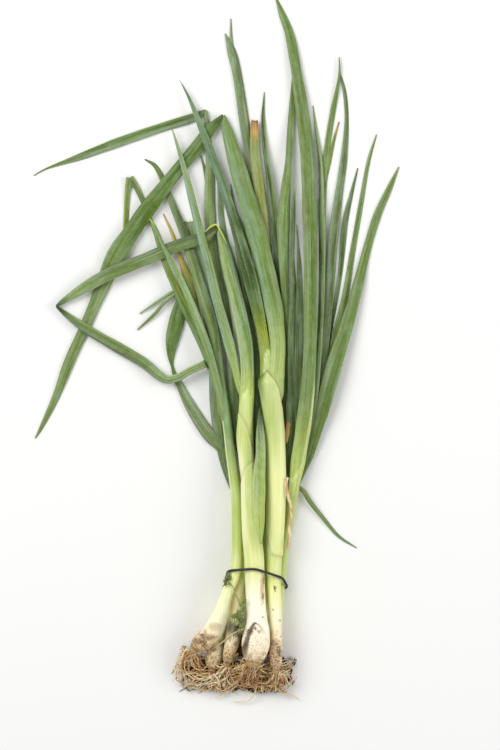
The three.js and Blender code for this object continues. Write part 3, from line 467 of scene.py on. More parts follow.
def lie(layers, arms, owner, sides, slope, free=np.inf, start=-np.inf):
    """Lets arms down onto the pile and returns their heights: wherever something lies below,
    its top plus the clearance plus half the piece's own height, and between such places no
    steeper than slope."""
    count = max(2, int(np.ceil(arms[-1].s[-1] / BIN)) + 1)
    need = np.full(count, -np.inf)

    def raise_to(s, z):
        np.maximum.at(need, np.minimum(count - 1, np.floor(s / BIN + 0.5).astype(int)), z)

    for arm in arms:
        raise_to(arm.s, arm.b - SETTLE)
        for squares, s, half in under(arm, sides, SQUARE):
            for name, layer in layers.items():
                hit = (layer[squares] > -SETTLE) & ((name != owner) | (s >= free))
                raise_to(s[hit], (layer[squares] + CLEARANCE + half)[hit])
    need[0] = max(need[0], start)
    climb = slope * BIN * np.arange(count)
    need = np.maximum.accumulate(need + climb) - climb
    need = (np.maximum.accumulate((need + climb[::-1])[::-1]) - climb)[::-1]
    heights = evened(need)
    for arm in arms:
        arm.z = value_at(heights, arm.s)
        for squares, s, half in under(arm, sides, SQUARE / 2):
            np.maximum.at(layers[owner], squares, value_at(heights, s) + half)
    return heights


def band_y(x, z):
    """The slanting plane of the rubber band."""
    return BAND_MIDDLE[1] + BAND_LEAN * (z - BAND_MIDDLE[2]) + BAND_SKEW * (x - BAND_MIDDLE[0])


@lru_cache(maxsize=1)
def laid_bunch():
    """Every piece where it lies, by plant or scrap: the shank first and then its leaves."""
    names = [*PLANTS, *SCRAPS, "band"]
    layers = {n: np.full(MAP_COLUMNS * MAP_ROWS, -SETTLE, np.float32) for n in names}
    x = np.arange(BAND_FROM, BAND_TO)
    low = band_y(x, BAND_RADIUS) - BAND_REACH - MAP_Y
    for column, first in zip(x - MAP_X, low):
        rows = np.arange(int(np.floor(first)), int(np.ceil(first + 2 * BAND_REACH)))
        layers["band"][rows * MAP_COLUMNS + column] = 2 * BAND_RADIUS + BAND_GAP / 2
    laid = {name: [] for name in names}
    for piece in PILE:
        own = laid[piece.plant]
        edges = LIPS.get((piece.plant, len(own)), ())
        if piece.kind == "shank":
            arm = arm_on(piece.arms[0], SHANK_STEP)
            arm.b = shank_half_height(arm.a)
            heights = lie(layers, [arm], piece.plant, SHANK_SIDES, SHANK_SLOPE)
            neck = float(arm.s[arm.t == len(arm.route) - 2][0])
            own.append(Laid(piece.look, [arm], heights, neck, edges))
            continue
        young, stem = None, None
        arms = arms_of(piece.arms, 0 if piece.kind == "leaf" else np.inf)
        if piece.kind == "scrap":
            young = linear(piece.look.neck) if piece.look else None
            rule = {"slope": 0 if len(arms) > 1 else LEAF_SLOPE}
        elif piece.kind == "strip":
            column, row = int(np.floor(arms[0].x[0] - MAP_X)), int(np.floor(arms[0].y[0] - MAP_Y))
            rule = {"start": layers[piece.plant][row * MAP_COLUMNS + column] - arms[0].b[0]}
        else:
            for before, after in zip(arms, arms[1:]):
                before.b[-1] = after.b[0] = FOLD_HALF_HEIGHT
            stem = own[0]
            young = stem_colour(piece.plant, stem.neck)
            rule = {"start": value_at(stem.heights, stem.neck), "free": GROWN_TOGETHER}
        rule = {"slope": LEAF_SLOPE, **rule}
        heights = lie(layers, arms, piece.plant, LEAF_SIDES, **rule)
        own.append(Laid(piece.look, arms, heights, edges=edges, young=young, stem=stem))
    return laid


def arms_of(routes, from_neck):
    """The arms of a leaf, each starting where the one before it folds over."""
    arms = []
    for route in routes:
        arm = arm_on(route, LEAF_STEP, arms[-1].s[-1] if arms else 0.0)
        arm.b = leaf_half_height(arm.a, from_neck + arm.s)
        arms.append(arm)
    return arms


def fine(laid, arm, step):
    """The same arm with close rings."""
    t = places(arm.route, step)
    x, y, width = on_route(arm.route, t)
    s = np.interp(t, arm.t, arm.s)
    return Arm(arm.route, t, x, y, np.maximum(width / 2, 0.35), s, z=value_at(laid.heights, s))


def stem_of(plant, step):
    """A plant's stem with close rings."""
    return fine(laid_bunch()[plant][0], laid_bunch()[plant][0].arms[0], step)


# ---- Surfaces ----


def smooth(x):
    """0 below 0, 1 above 1 and 3 x^2 - 2 x^3 between."""
    x = np.clip(x, 0, 1)
    return x * x * (3 - 2 * x)


def ramp(x, start, end):
    """Smoothly from 0 at start to 1 at end, which may be the lower of the two."""
    return smooth((x - start) / (end - start))


def close_to(x, middle, reach):
    """1 at middle, falling smoothly to 0 at reach from it on both sides."""
    return smooth(1 - np.abs(x - middle) / reach)


def mix(a, b, share):
    """Colours from a to b by share, over whole arrays. Either may be a tone or a code."""
    a, b = (linear(colour) if isinstance(colour, str) else colour for colour in (a, b))
    return a + (b - a) * share[..., None]


def washed(tint, *washes):
    """Colours under washes, each a colour and its strength."""
    for colour, strength in washes:
        tint = mix(tint, colour, strength)
    return tint


def circle(count, start=0.0):
    """Angles of the corners of a section, with their cosines and sines."""
    angle = 2 * np.pi * (np.arange(count) + start) / count
    return angle, np.cos(angle), np.sin(angle)


def waves(rng, u, v, size_u, size_v, count=9):
    """An uneven field from -1 to 1: the sum of cosine waves in random directions, whose lengths
    are about size_u and size_v."""
    angle = rng.uniform(0, 2 * np.pi, count)
    pace = rng.uniform(0.6, 1.6, count)
    phase = rng.uniform(0, 2 * np.pi, count)
    u, v = np.broadcast_arrays(u, v)
    turn = np.multiply.outer(u / size_u, 2 * np.pi * pace * np.cos(angle))
    turn = turn + np.multiply.outer(v / size_v, 2 * np.pi * pace * np.sin(angle))
    return np.clip(np.cos(turn + phase).sum(-1) / np.sqrt(count), -1, 1)


def across(arm):
    """Unit vectors in plan to the right of the way the arm runs."""
    dx, dy = np.gradient(arm.x), np.gradient(arm.y)
    return np.stack([dy, -dx], -1) / np.hypot(dx, dy)[:, None]


def around(arm, out, up):
    """Rings that stand across an arm: out is the distance to its right, up the height above it."""
    plan = np.stack([arm.x, arm.y], -1)[:, None] + across(arm)[:, None] * out[..., None]
    return np.concatenate([plan, (arm.z[:, None] + up)[..., None]], -1)


class Skin:
    """Gathers grids of points into one mesh, each ring closed on itself and each end capped."""

    def __init__(self):
        self.points, self.grain, self.tint, self.quads, self.triangles = [], [], [], [], []
        self.count = 0

    def keep(self, pick, *values):
        """Keeps points, their grain and their tint. pick takes what is kept of each grid."""
        for kept, value in zip((self.points, self.grain, self.tint), values):
            kept.append(pick(value).reshape(-1, value.shape[-1]))

    def add(self, grid, grain, tint, loop=False):
        """grid is (tubes, rings, corners, 3) or without the first, and nothing of it goes below
        the surface. grain holds millimetres across and along, tint colours. A loop's last ring
        joins its first; otherwise each end is a fan round the middle of its ring."""
        n, m = grid.shape[-3:-1]
        grid = grid.reshape(-1, n, m, 3)
        grid[..., 2] = np.maximum(grid[..., 2], 0)
        k = len(grid)
        grain = np.broadcast_to(np.stack(np.broadcast_arrays(*grain), -1), (k, n, m, 2))
        values = grid, grain, np.broadcast_to(tint, grid.shape)
        index = self.count + np.arange(k * n * m).reshape(k, n, m)
        after = np.roll(index, -1, 2)
        rings = np.arange(n if loop else n - 1)
        following = (rings + 1) % n
        body = [index[:, rings], index[:, following], after[:, following], after[:, rings]]
        self.quads.append(np.stack(body, -1).reshape(-1, 4))
        self.keep(lambda value: value, *values)
        self.count += k * n * m
        if loop:
            return
        ends = [0, n - 1]
        poles = np.broadcast_to(self.count + np.arange(2 * k).reshape(k, 2, 1), (k, 2, m))
        fans = np.stack([poles, index[:, ends], after[:, ends]], -1)
        fans[:, 1, :, 1:] = fans[:, 1, :, :0:-1].copy()
        self.triangles.append(fans.reshape(-1, 3))
        self.keep(lambda value: value[:, ends].mean(2), *values)
        self.count += 2 * k

    def object(self, name, material, slot, replaces=()):
        """The finished piece, in metres and riding on the bunch."""
        mesh = bpy.data.meshes.new(name)
        quads = np.concatenate(self.quads)
        triangles = np.concatenate([*self.triangles, np.zeros((0, 3), int)])
        corners = np.concatenate([quads.ravel(), triangles.ravel()]).astype(np.int32)
        sizes = np.repeat([4, 3], [len(quads), len(triangles)])
        mesh.vertices.add(self.count)
        mesh.vertices.foreach_set("co", (np.concatenate(self.points) * MM).ravel())
        mesh.loops.add(len(corners))
        mesh.loops.foreach_set("vertex_index", corners)
        mesh.polygons.add(len(sizes))
        mesh.polygons.foreach_set("loop_start", (np.cumsum(sizes) - sizes).astype(np.int32))
        grain = np.pad(np.concatenate(self.grain), ((0, 0), (0, 1)))
        stored = mesh.attributes.new("grain", "FLOAT_VECTOR", "POINT")
        stored.data.foreach_set("vector", grain.ravel())
        tint = np.pad(np.concatenate(self.tint), ((0, 0), (0, 1)), constant_values=1)
        stored = mesh.attributes.new("tint", "FLOAT_COLOR", "POINT")
        stored.data.foreach_set("color", tint.ravel())
        mesh.update(calc_edges=True)
        if mesh.validate():
            raise ValueError(f"{name} had faces that are no faces")
        mesh.shade_smooth()
        mesh.materials.append(material)
        piece = bpy.data.objects.new(name, mesh)
        bpy.context.scene.collection.objects.link(piece)
        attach(piece, "root")
        if replaces:
            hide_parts(*replaces)


def past_edge(grid, edge):
    """Distance in plan of every point of a grid from an edge, which runs straight on past both of
    its ends: positive on the right of the way the edge runs, where the sheath covers."""
    edge = points(edge)
    start, run = edge[:-1], np.diff(edge, axis=0)
    length = np.linalg.norm(run, axis=1)
    run = run / length[:, None]
    away = grid[..., None, :2] - start
    along = (away * run).sum(-1)
    low, high = np.zeros(len(length)), length.copy()
    low[0], high[-1] = -np.inf, np.inf
    off = away - np.clip(along, low, high)[..., None] * run
    nearest = np.argmin((off**2).sum(-1), axis=-1)[..., None]
    turned = away[..., 0] * run[:, 1] - away[..., 1] * run[:, 0]
    distance = np.linalg.norm(off, axis=-1) * np.sign(turned)
    return np.take_along_axis(distance, nearest, -1)[..., 0]


# ---- Shanks ----

SHANK_AROUND = 84
BASE_ROUND, STEM_END = 3, 14  # lengths over which a stem's base is rounded and its end draws in
GREENING = (  # distance from the base in millimetres, and colour of the skin there
    (0, "#d9bf8c"), (8, "#efdcae"), (26, "#fdf6d4"), (48, "#fbfbcb"), (80, "#e9ee9c"),
    (112, "#c8d67c"), (170, "#bccd70"), (215, "#b0c478"),
)
GREENER = {  # by how much a plant's skin is greener than its distance from the base says, as a
    # distance, where that starts, and the length over which it grows
    "left": (6, 0, 40), "right": (14, 0, 40), "outer_right": (45, 0, 40), "rear_left": (40, 0, 40),
    "rear_middle": (24, 0, 40), "rear_right": (45, 0, 40), "middle": (-45, 130, 50),
}
SOILED = {  # how far up from its base soil stains a plant, in millimetres
    "left": 17, "right": 27, "middle": 9, "outer_right": 24, "rear_left": 16, "rear_middle": 14,
    "rear_right": 24,
}
SHEATH_TONE, DRY_EDGE = "#e9efa2", "#e0c79a"
TUCK, TUCK_LENGTH = 5, 3.5  # how far the right stem draws in past its first sheath, and how soon
TEAR_DEPTH, RIM_RISE = 2.2, 0.7  # of the largest bulb's torn skin
# Washes over the front stems: colour and strength, then ramps along the stem, in millimetres
# from its base, and across it, as a share of its half width.
WASHES = {
    "right": (
        # The cream on the +X side is partly painted highlight.
        ("#fbf5bd", 0.7, ("along", 90, 120), ("across", 0.35, 0.65)),
        ("#f6f4b0", 0.75, ("along", 90, 120), ("along", 190, 150)),
        ("#a9bd5c", 0.6, ("along", 90, 120), ("across", -0.45, -0.85)),
        ("#a3bd70", 0.6, ("along", 165, 215)),
        ("#fdf0dc", 0.75, ("along", 68, 38)),
    ),
    "left": (
        ("#b0c468", 0.7, ("along", 60, 100)),
        ("#7d9c6a", 0.85, ("along", 135, 190)),
        ("#e6eeb0", 0.75, ("along", 110, 150), ("across", -0.6, -0.85)),
    ),
    "middle": (
        ("flank", 0.9, ("along", 80, 110), ("along", 190, 160), ("across", -0.4, 0.05)),
        ("celery", 0.9, ("along", 80, 110), ("along", 190, 160), ("across", 0.05, 0.55)),
        ("#f8f8ca", 0.7, ("along", 80, 110), ("along", 190, 160), ("across", -0.3, -0.6)),
        ("#dbe59c", 0.6, ("along", 180, 200), ("across", 0.6, 0.1)),
    ),
}


def stem_colour(plant, s):
    """Colour of a plant's skin at distances from its base."""
    more, start, length = GREENER[plant]
    return gradient(GREENING, s + more * ramp(s, start, start + length))


def gradient(stops, s):
    """Colours at distances s, straight between stops, each a distance and a colour."""
    run = [distance for distance, _ in stops]
    colours = np.array([linear(code) for _, code in stops])
    return np.stack([np.interp(s, run, channel) for channel in colours.T], -1)


def number_of(name):
    """A whole number from a name, the same on every run."""
    return sum((i + 1) * ord(letter) for i, letter in enumerate(name))


def shank_surface(skin, plant, laid, step, sheath, dirt):
    """A round stem on its route: out = a cos(angle), up = b sin(angle), less the thickness of
    each sheath past its edge. Its base is rounded and its far end draws in."""
    arm = fine(laid, laid.arms[0], step)
    rng = np.random.default_rng(number_of(plant))
    angle, c, n = circle(SHANK_AROUND, 0.5)
    s, f = np.broadcast_arrays(arm.s[:, None], c)
    left = arm.s[-1] - s
    drawn_in = np.sqrt(1 - 0.5 * np.clip(1 - s / BASE_ROUND, 0, 1) ** 2)
    drawn_in = drawn_in * (1 - 0.5 * ramp(left, STEM_END, 0))
    a, b = arm.a[:, None] * drawn_in, shank_half_height(arm.a)[:, None] * drawn_in
    u = a * np.abs(np.where(angle > np.pi, angle - 2 * np.pi, angle))
    flat = around(arm, a * c, b * n)
    largest = plant == "middle"
    tint = stem_colour(plant, s) * (1 + 0.08 * waves(rng, u, s, 2.2, 90))[..., None]
    streaks = smooth(waves(rng, u, s, 2.6, 60, 12) - 0.1)
    tint = mix(tint, "moss", 0.3 * streaks * ramp(s, 90, 170))
    for code, strength, *ramps in WASHES.get(plant, ()):
        for way, start, end in ramps:
            strength = strength * ramp(s if way == "along" else f, start, end)
        tint = mix(tint, code, strength)
    thin = np.zeros_like(s)
    glow, dry = (0.1, 0.5) if largest else (0.4, 0.7)
    for place, edge in enumerate(laid.edges):
        inside = past_edge(flat, edge)
        covered = smooth(inside / 0.9 + 0.5)
        thin = thin + sheath * (1 - covered)
        if plant == "right" and place == 0:
            thin = thin + TUCK * ramp(inside, 0, -TUCK_LENGTH)
        tint = mix(tint, SHEATH_TONE, glow * covered * smooth(1 - inside / 40))
        # Painted shade: the stem darkens just past each sheath's edge.
        tint = tint * (1 - 0.2 * (1 - covered) * smooth(1 + inside / 4))[..., None]
        tint = mix(tint, DRY_EDGE, dry * close_to(inside, 0.4, 0.8))
    if plant == "right":
        # Partly painted shade: near its end the stem's -X side turns dark olive.
        tint = mix(tint, "#5a7522", 0.92 * ramp(f, -0.4, -0.88) * ramp(left, 38.4, 6.4))
        olive = ramp(f, 0.5, 0.1) * ramp(left, 20, 45) * ramp(left, 88, 33)
        olive = olive * (0.6 + 0.4 * waves(rng, u, s, 3, 30))
        tint = mix(tint, "#a8bf3e", 0.34 * olive)
    if largest:
        inside = past_edge(flat, SKIN_TEAR)
        low, high = TEAR_SIDES
        upper = n > 0
        bare = smooth(inside / 0.9) * ramp(f, low, low + 0.07) * ramp(f, high, high - 0.07) * upper
        rim = close_to(inside, -1.2, 1.6) * (np.abs(f) < 0.9) * upper
        thin = thin + TEAR_DEPTH * bare - RIM_RISE * rim
        # Painted shadow: a dark strip just inside the torn skin's edge, widest towards -X.
        width = 0.8 + 2.9 * smooth(0.1 - f)
        gap_shadow = smooth(inside / 0.5) * ramp(inside / width, 1.3, 0.7) * smooth(0.7 - f) * upper
        smudge = ramp(waves(rng, a * angle, s, 6, 8, 14), 0.1, 0.7)
        specks = ramp(waves(rng, a * angle, s, 2.4, 2.4, 18), 0.85, 1.05)
        tint = washed(
            tint,
            ("#fdfae8", 0.7 * (1 - bare) * close_to(s, 46, 30)),
            ("#fffdf2", 0.85 * rim),
            ("#fff3da", 0.95 * bare),
            ("#2c1b0e", 0.92 * gap_shadow),
            ("#dcb682", 0.18 * smudge * bare),
            ("#8a6038", 0.7 * specks * bare),
        )
    # Soil stains the base: a warm wash, an uneven cover, blotches and grit.
    up = s / (SOILED[plant] * (1 + dirt))
    cover = smooth((0.7 * waves(rng, u, s, 6, 9, 12) + 1.2 - 1.4 * up) / 0.8)
    wide = 11 if plant == "left" else 4
    blotch = smooth((waves(rng, u, s, wide, 2.6, 26) + 0.35 - 1.2 * up) / 0.3)
    grit = ramp(waves(rng, u, s, 1.3, 1.1, 26), 0.7, 0.85) * smooth(1.4 - 1.2 * up)
    tint = washed(
        tint,
        ("#f3d09a", (0.25 if largest else 0.55) * smooth(1.5 - up)),
        ("#cda36c", (0.3 if plant.startswith("rear") else 0.6) * cover),
        ("#5e3c1c", 0.75 * blotch * (0.25 if largest else 0.8)),
        ("#3a2a1c", 0.8 * grit),
    )
    for x, y, across_mm, along_mm, code, strength in SPOTS.get(plant, ()):
        away = np.hypot((flat[..., 0] - x) / across_mm, (flat[..., 1] - y) / along_mm)
        ragged = away + 0.35 * waves(rng, u, s, 1.5, 2.5)
        tint = mix(tint, code, strength * (n > 0) * ramp(ragged, 1.15, 0.65))
    thin = np.minimum(thin, 0.7 * a)
    skin.add(around(arm, (a - thin) * c, (b - thin * 0.8) * n), (u, s), tint)


# ---- Leaves ----

LEAF_AROUND = 28
SLACK = 0.035  # share by which a leaf's width wavers
FURROW_WIDTHS = (0.16, 0.12)  # of the deeper furrow and of the other, in half widths
FOLD_SWELL, FOLD_SHADOW = 9, 16  # lengths over which a leaf thickens and darkens at a fold
LEAF_LIP = 0.35  # thickness of a sheath's edge on a leaf
RUBBED = np.array((0.88, 0.9, 0.52))  # share of each colour left where the wax is rubbed off
BLOOMED = np.array((1.15, 1.11, 1.42))  # and where it is whole
INSIDE = 30  # length of a leaf's foot inside its stem


def with_foot(arm, stem):
    """The arm with a foot that comes up inside its stem: on the stem's own middle line, moved
    across by a growing share of the distance at which the leaf leaves it."""
    core = fine(stem, stem.arms[0], 2)
    inner = (core.s > stem.neck - INSIDE) & (core.s < stem.neck - 1)
    s = core.s[inner] - stem.neck
    share = smooth((s + INSIDE) / INSIDE)
    at_neck = {key: np.interp(stem.neck, core.s, getattr(core, key)) for key in "xyaz"}
    foot = [
        getattr(core, key)[inner] + (getattr(arm, key)[0] - at_neck[key]) * share for key in "xyz"
    ]
    a = np.minimum(arm.a[0], core.a[inner] - 0.5) * (0.6 + 0.4 * share)
    width = np.minimum(arm.a, at_neck["a"] - 0.5 + 0.08 * arm.s)
    pairs = (share - 1, arm.t), (foot[0], arm.x), (foot[1], arm.y), (a, width), (s, arm.s)
    z = np.concatenate([foot[2], arm.z])
    return Arm(arm.route, *(np.concatenate(pair) for pair in pairs), z=z)


def leaf_surface(skin, laid, seed, step, furrow, pale_neck):
    """A hollow leaf that has flattened: out = a cos(angle), up = b |sin(angle)|^0.8, with furrows
    along the top, depth exp(-((cos(angle) - place) / width)^2), whose places wander. Wax is
    rubbed off along a wandering stripe and blooms beside it."""
    rng = np.random.default_rng(seed)
    marks = np.random.default_rng((seed, 1))
    look = laid.look
    deep, slight = FURROW_WIDTHS
    _, c, n = circle(LEAF_AROUND, 0.5)
    shift = rng.uniform(0, 40)
    for number, coarse in enumerate(laid.arms):
        arm = fine(laid, coarse, step)
        if laid.stem and number == 0:
            arm = with_foot(arm, laid.stem)
        along = np.zeros_like(arm.s)
        slack = 1 - SLACK * (1 + waves(rng, along, arm.s, 1, 37))
        slack = slack * (1 + look.ragged * waves(rng, along, arm.s, 1, 5))
        from_fold = np.full(len(arm.s), np.inf)
        if number > 0:
            from_fold = np.minimum(from_fold, arm.s - arm.s[0])
        if number + 1 < len(laid.arms):
            from_fold = np.minimum(from_fold, arm.s[-1] - arm.s)
        b = leaf_half_height(arm.a, np.maximum(arm.s, 0))
        b = np.minimum(b, np.maximum(0.4, arm.a * 0.85))
        b = (b + (FOLD_HALF_HEIGHT - b) * smooth(1 - from_fold / FOLD_SWELL))[:, None]
        a = (arm.a * slack)[:, None]
        out = a * c
        s, f = np.broadcast_arrays(arm.s[:, None], c)
        place = 0.45 * waves(rng, along, arm.s, 1, 160)[:, None] - look.meet
        depth = furrow * ramp(a, 1.5, 3.5) * (n > 0)
        dent = depth * np.exp(-(((c - place) / deep) ** 2))
        dent = dent + 0.5 * depth * np.exp(-(((c + place + 0.5) / slight) ** 2))
        up = b * np.sign(n) * np.abs(n) ** 0.8 * (1 - dent)
        side = smooth((f - look.meet + 0.25 * waves(rng, f, s, 2.5, 70)) / 0.3 + 0.5)
        left, right, reach, beyond = look.left, look.right, np.inf, look.left
        if look.far and number:
            left, right, reach, beyond = look.far[number - 1]
        tint = mix(left, right, side)
        tint = mix(tint, beyond, smooth((s - arm.s[0] - reach) / 40))
        if look.along:
            (start, _), (end, _) = look.along[-2:]
            tint = mix(gradient(look.along, s), tint, 0.5 * ramp(s, start, end))
        tint = mix(tint, "blue", 0.25 * smooth(waves(rng, out / 5, s, 1.5, 60) + 0.1))
        tint = tint * (1 + 0.17 * waves(rng, out, s, 1.5, 160, 12))[..., None]
        stripe = 0.12 + 0.4 * waves(marks, along, arm.s, 1, 130)[:, None]
        bloom = smooth(np.abs(f - stripe) / 0.55 - 0.1 + 0.4 * waves(marks, out, s, 3, 11))
        tint = tint * mix(RUBBED, BLOOMED, bloom)
        # Painted light: a leaf lightens towards lime along both its edges.
        tint = mix(tint, "lime", 0.22 * ramp(np.abs(f), 0.86, 1))
        if laid.young is not None:
            young = look.neck or laid.young
            tint = mix(tint, young, 1 - smooth(s / (pale_neck * look.greens)))
        left_over = (laid.arms[-1].s[-1] - s) / look.tip_length
        if look.tip == "brown":
            tint = mix(tint, "straw", smooth(2.0 - left_over))
        tint = mix(tint, look.tip, smooth(1.15 - left_over))
        if number > 0:
            shadow = (1 - look.fold_shade) * smooth(1 - from_fold / FOLD_SHADOW)
            tint = tint * (1 - shadow)[:, None, None]
        for edge in laid.edges:
            inside = past_edge(around(arm, out, up), edge)
            covered = smooth(inside / 0.9 + 0.5)
            tint = mix(tint, "#d3e094", 0.7 * covered)
            tint = mix(tint, "#eef2c4", 0.6 * close_to(inside, 0.5, 0.9))
            out = out - LEAF_LIP * (1 - covered) * c
            up = up - LEAF_LIP * (1 - covered) * n
        grid = around(arm, out, up + look.lift)
        if number + 1 == len(laid.arms) and arm.a[-1] > 1.5:
            torn = np.stack([np.gradient(arm.x)[-1:], np.gradient(arm.y)[-1:]], -1) / step
            grid[-1, :, :2] += torn * rng.uniform(-2.6, 1.2, LEAF_AROUND)[:, None]
        skin.add(grid, (out + shift, s), tint)


# The bright rolled rim of the middle plant's first fold, in plan.
FOLD_RIM = "-12 88, -9.6 91, -4.5 96, -0.5 97, 2.6 92, 5.2 87.5, 8 81"


def rim_surface(skin, laid):
    """A slim tube along a leaf's fold, at the height of the leaf's upper side there."""
    x, y = drawn(FOLD_RIM, 1)
    top = value_at(laid.heights, laid.arms[1].s[0]) + 1.6
    path = np.stack([x, y, top + 1.2 * np.sin(np.linspace(0, np.pi, len(x)))], -1)
    tubes(skin, path, 0.85 * np.sin(np.linspace(0.25, np.pi - 0.25, len(x))), "#c8d66a", 8)


# ---- Roots and soil ----

ROOTS_END, ROOTS_LEFT, ROOTS_RIGHT = -276, -27, 55
ROOT_SHADES = ("#f2ce92", "#fce4b4", "#e6b676", "#c8945a", "#ffecc4")
LONG_ROOTS = {
    "left": (
        "-22 -243, -29 -258, -25 -267, -17 -272, -6 -270, 6 -272, 18 -275, 31 -277",
        "-19 -246, -31 -251, -34 -262",
        "-19 -245, -27 -249, -33 -256",
        "-20 -246, -27 -252, -31 -262, -27 -272, -14 -275, 2 -273, 16 -277",
    ),
    "rear_middle": (
        "8 -256, 4 -264, 9 -275, 7 -278, -1 -282",
        "9 -255, 14 -266, 24 -272, 38 -273, 48 -270",
    ),
    "middle": (
        "29 -255, 31 -267, 30 -279, 26 -284, 18 -286, 13 -286",
        "24 -254, 19 -266, 8 -274, -6 -276, -18 -273",
    ),
    "right": (
        "47 -261, 46 -267, 48 -275, 53 -279, 61 -279, 66 -283",
        "45 -259, 52 -263, 57 -262, 55 -256",
    ),
}
# Roots that lie over the bulbs, with the height of each point.
OVER_ROOTS = (
    "22 -226 17, 15 -229 17.5, 9 -233 17, 3 -238 17, -4 -243 14, -8 -250 8",
    "17 -246 12, 13 -250 12, 12 -257 9, 7 -263 6, 9 -270 4",
    "24 -247 14, 20 -252 13, 19 -259 9, 23 -264 7, 20 -271 4",
)


def base_of(plant):
    """Where a plant's roots start: x, y, z, half width, half height, and its heading in plan."""
    arm = laid_bunch()[plant][0].arms[0]
    heading = np.arctan2(arm.y[0] - arm.y[1], arm.x[0] - arm.x[1])
    return arm.x[0], arm.y[0], arm.z[0], arm.a[0], shank_half_height(arm.a[0]), heading


def drawn(text, step):
    """The columns of a route of points, followed in steps no longer than step."""
    route = points(text)
    return on_route(route, places(route, step))


def tubes(skin, paths, radii, tint, sides=5):
    """Tubes along paths (tubes, points, 3): each ring is radius times cos and sin of the angle
    on two vectors square to the path. tint is a code, or one colour a point."""
    paths = paths.reshape(-1, *paths.shape[-2:])
    ahead = np.gradient(paths, axis=1)
    ahead /= np.maximum(np.linalg.norm(ahead, axis=-1, keepdims=True), 1e-6)
    side = np.cross(ahead, [0.0, 0.0, 1.0])
    side /= np.maximum(np.linalg.norm(side, axis=-1, keepdims=True), 1e-3)
    rise = np.cross(side, ahead)
    angle, c, n = circle(sides)
    radii = np.broadcast_to(radii, paths.shape[:2])[..., None, None]
    ring = c[:, None] * side[:, :, None] + n[:, None] * rise[:, :, None]
    run = np.cumsum(np.linalg.norm(np.diff(paths, axis=1, prepend=paths[:, :1]), axis=-1), axis=1)
    grain = radii[..., 0] * angle, run[..., None]
    tint = linear(tint) if isinstance(tint, str) else tint[:, :, None]
    skin.add(paths[:, :, None] + radii * ring, grain, tint)


ROOT_STEPS = 22
# How far roots fan out, bend along their whole length and kink from step to step, in radians.
ROOT_FAN, ROOT_BEND, ROOT_KINK = 0.52, 0.08, 0.27
HIGHEST_ROOT = 11  # how far above the surface a root may end


def root_paths(base, per_mm, lengths, rng):
    """Roots that leave a plate within a fan. Each one's heading is the sum of small random
    turns, it sinks to its lowest height, and what would pass the end of the mat turns back."""
    x, y, z, a, b, heading = base
    count = int(per_mm * 2 * a)
    length = lengths[0] + (lengths[1] - lengths[0]) * rng.uniform(0, 1, count) ** 1.3
    fan = 0.4 * heading - 0.6 * np.pi / 2 + rng.normal(0, ROOT_FAN, count)
    bend = rng.normal(0, ROOT_BEND, (count, 1)) + rng.normal(0, ROOT_KINK, (count, ROOT_STEPS))
    course = fan[:, None] + np.cumsum(bend, axis=1)
    pace = (length / ROOT_STEPS)[:, None]
    side = rng.uniform(-0.9, 0.9, count) * a
    px = x - np.sin(heading) * side + np.cos(heading) * 1.5
    py = y + np.cos(heading) * side + np.sin(heading) * 1.5
    px = px[:, None] + np.cumsum(pace * np.cos(course), axis=1)
    py = py[:, None] + np.cumsum(pace * np.sin(course), axis=1)
    limit = ROOTS_END + rng.uniform(-3, 6, (count, 1))
    py = np.where(py < limit, limit + 0.7 * (limit - py), py)
    py = np.where(py > y - 1, y - 1 + 0.2 * (py - y), py)
    right = ROOTS_RIGHT + rng.uniform(-5, 3, (count, 1))
    px = np.where(px > right, right + 0.4 * (px - right), px)
    edge = ROOTS_LEFT + 0.35 * (py + 250)
    px = np.where(px < edge, edge + 0.25 * (px - edge), px)
    lowest = 0.7 + HIGHEST_ROOT * rng.uniform(0, 1, (count, 1)) ** 1.6
    fall = np.cumsum(rng.uniform(0.1, 1.3, (count, ROOT_STEPS)), axis=1)
    pz = np.maximum(lowest, z + rng.uniform(-0.7, 0.7, (count, 1)) * b - fall * z / 12)
    pz = pz + 0.7 * np.sin(np.linspace(0, 9, ROOT_STEPS) + rng.uniform(0, 6, (count, 1)))
    return np.stack([px, py, pz], -1)


def root_tangle(skin, per_mm, lengths, thickness):
    """The plates, the short roots and the long ones. Returns the points of all short roots."""
    rng = np.random.default_rng(SEEDS["roots"])
    shades = np.array([linear(code) for code in ROOT_SHADES])
    every = []
    for plant in PLANTS:
        base = base_of(plant)
        paths = root_paths(base, per_mm, lengths, rng)
        every.append(paths.reshape(-1, 3))
        radius = thickness / 2 * rng.uniform(0.5, 1.35, (len(paths), 1))
        taper = np.linspace(1.2, 0.45, paths.shape[1])
        own = shades[rng.integers(0, len(shades), len(paths))][:, None]
        # Roots darken towards soil brown in random stains, and more the lower they lie: painted
        # shade.
        stain_and_shade = 0.5 * smooth(rng.normal(0, 1, paths.shape[:2]))
        stain_and_shade = np.maximum(ramp(paths[..., 2], 5.5, 1), stain_and_shade)
        tubes(skin, paths, radius * taper, mix(own, "#553617", 0.8 * stain_and_shade))
        plate_surface(skin, base)
        for route in LONG_ROOTS.get(plant, ()):
            x, y = drawn(route, 2.5)
            gone = np.cumsum(np.hypot(np.diff(x, prepend=x[0]), np.diff(y, prepend=y[0])))
            z = np.maximum(4.5 * np.exp(-gone / 60), base[2] * np.exp(-gone / 14))
            wander = 0.8 * np.sin(gone / 4 + x[0])
            path = np.stack([x + wander, y + wander, z + 0.7 + 0.3 * np.sin(gone / 3)], -1)
            tubes(skin, path, 0.7 * np.linspace(1.15, 0.5, len(x)), ROOT_SHADES[1], 6)
    for route in OVER_ROOTS:
        path = drawn(route, 1.5).T
        tubes(skin, path, 0.6 * np.linspace(1.2, 0.6, len(path)), ROOT_SHADES[0], 6)
    return np.concatenate(every)


PLATE_RINGS, PLATE_AROUND = 7, 20


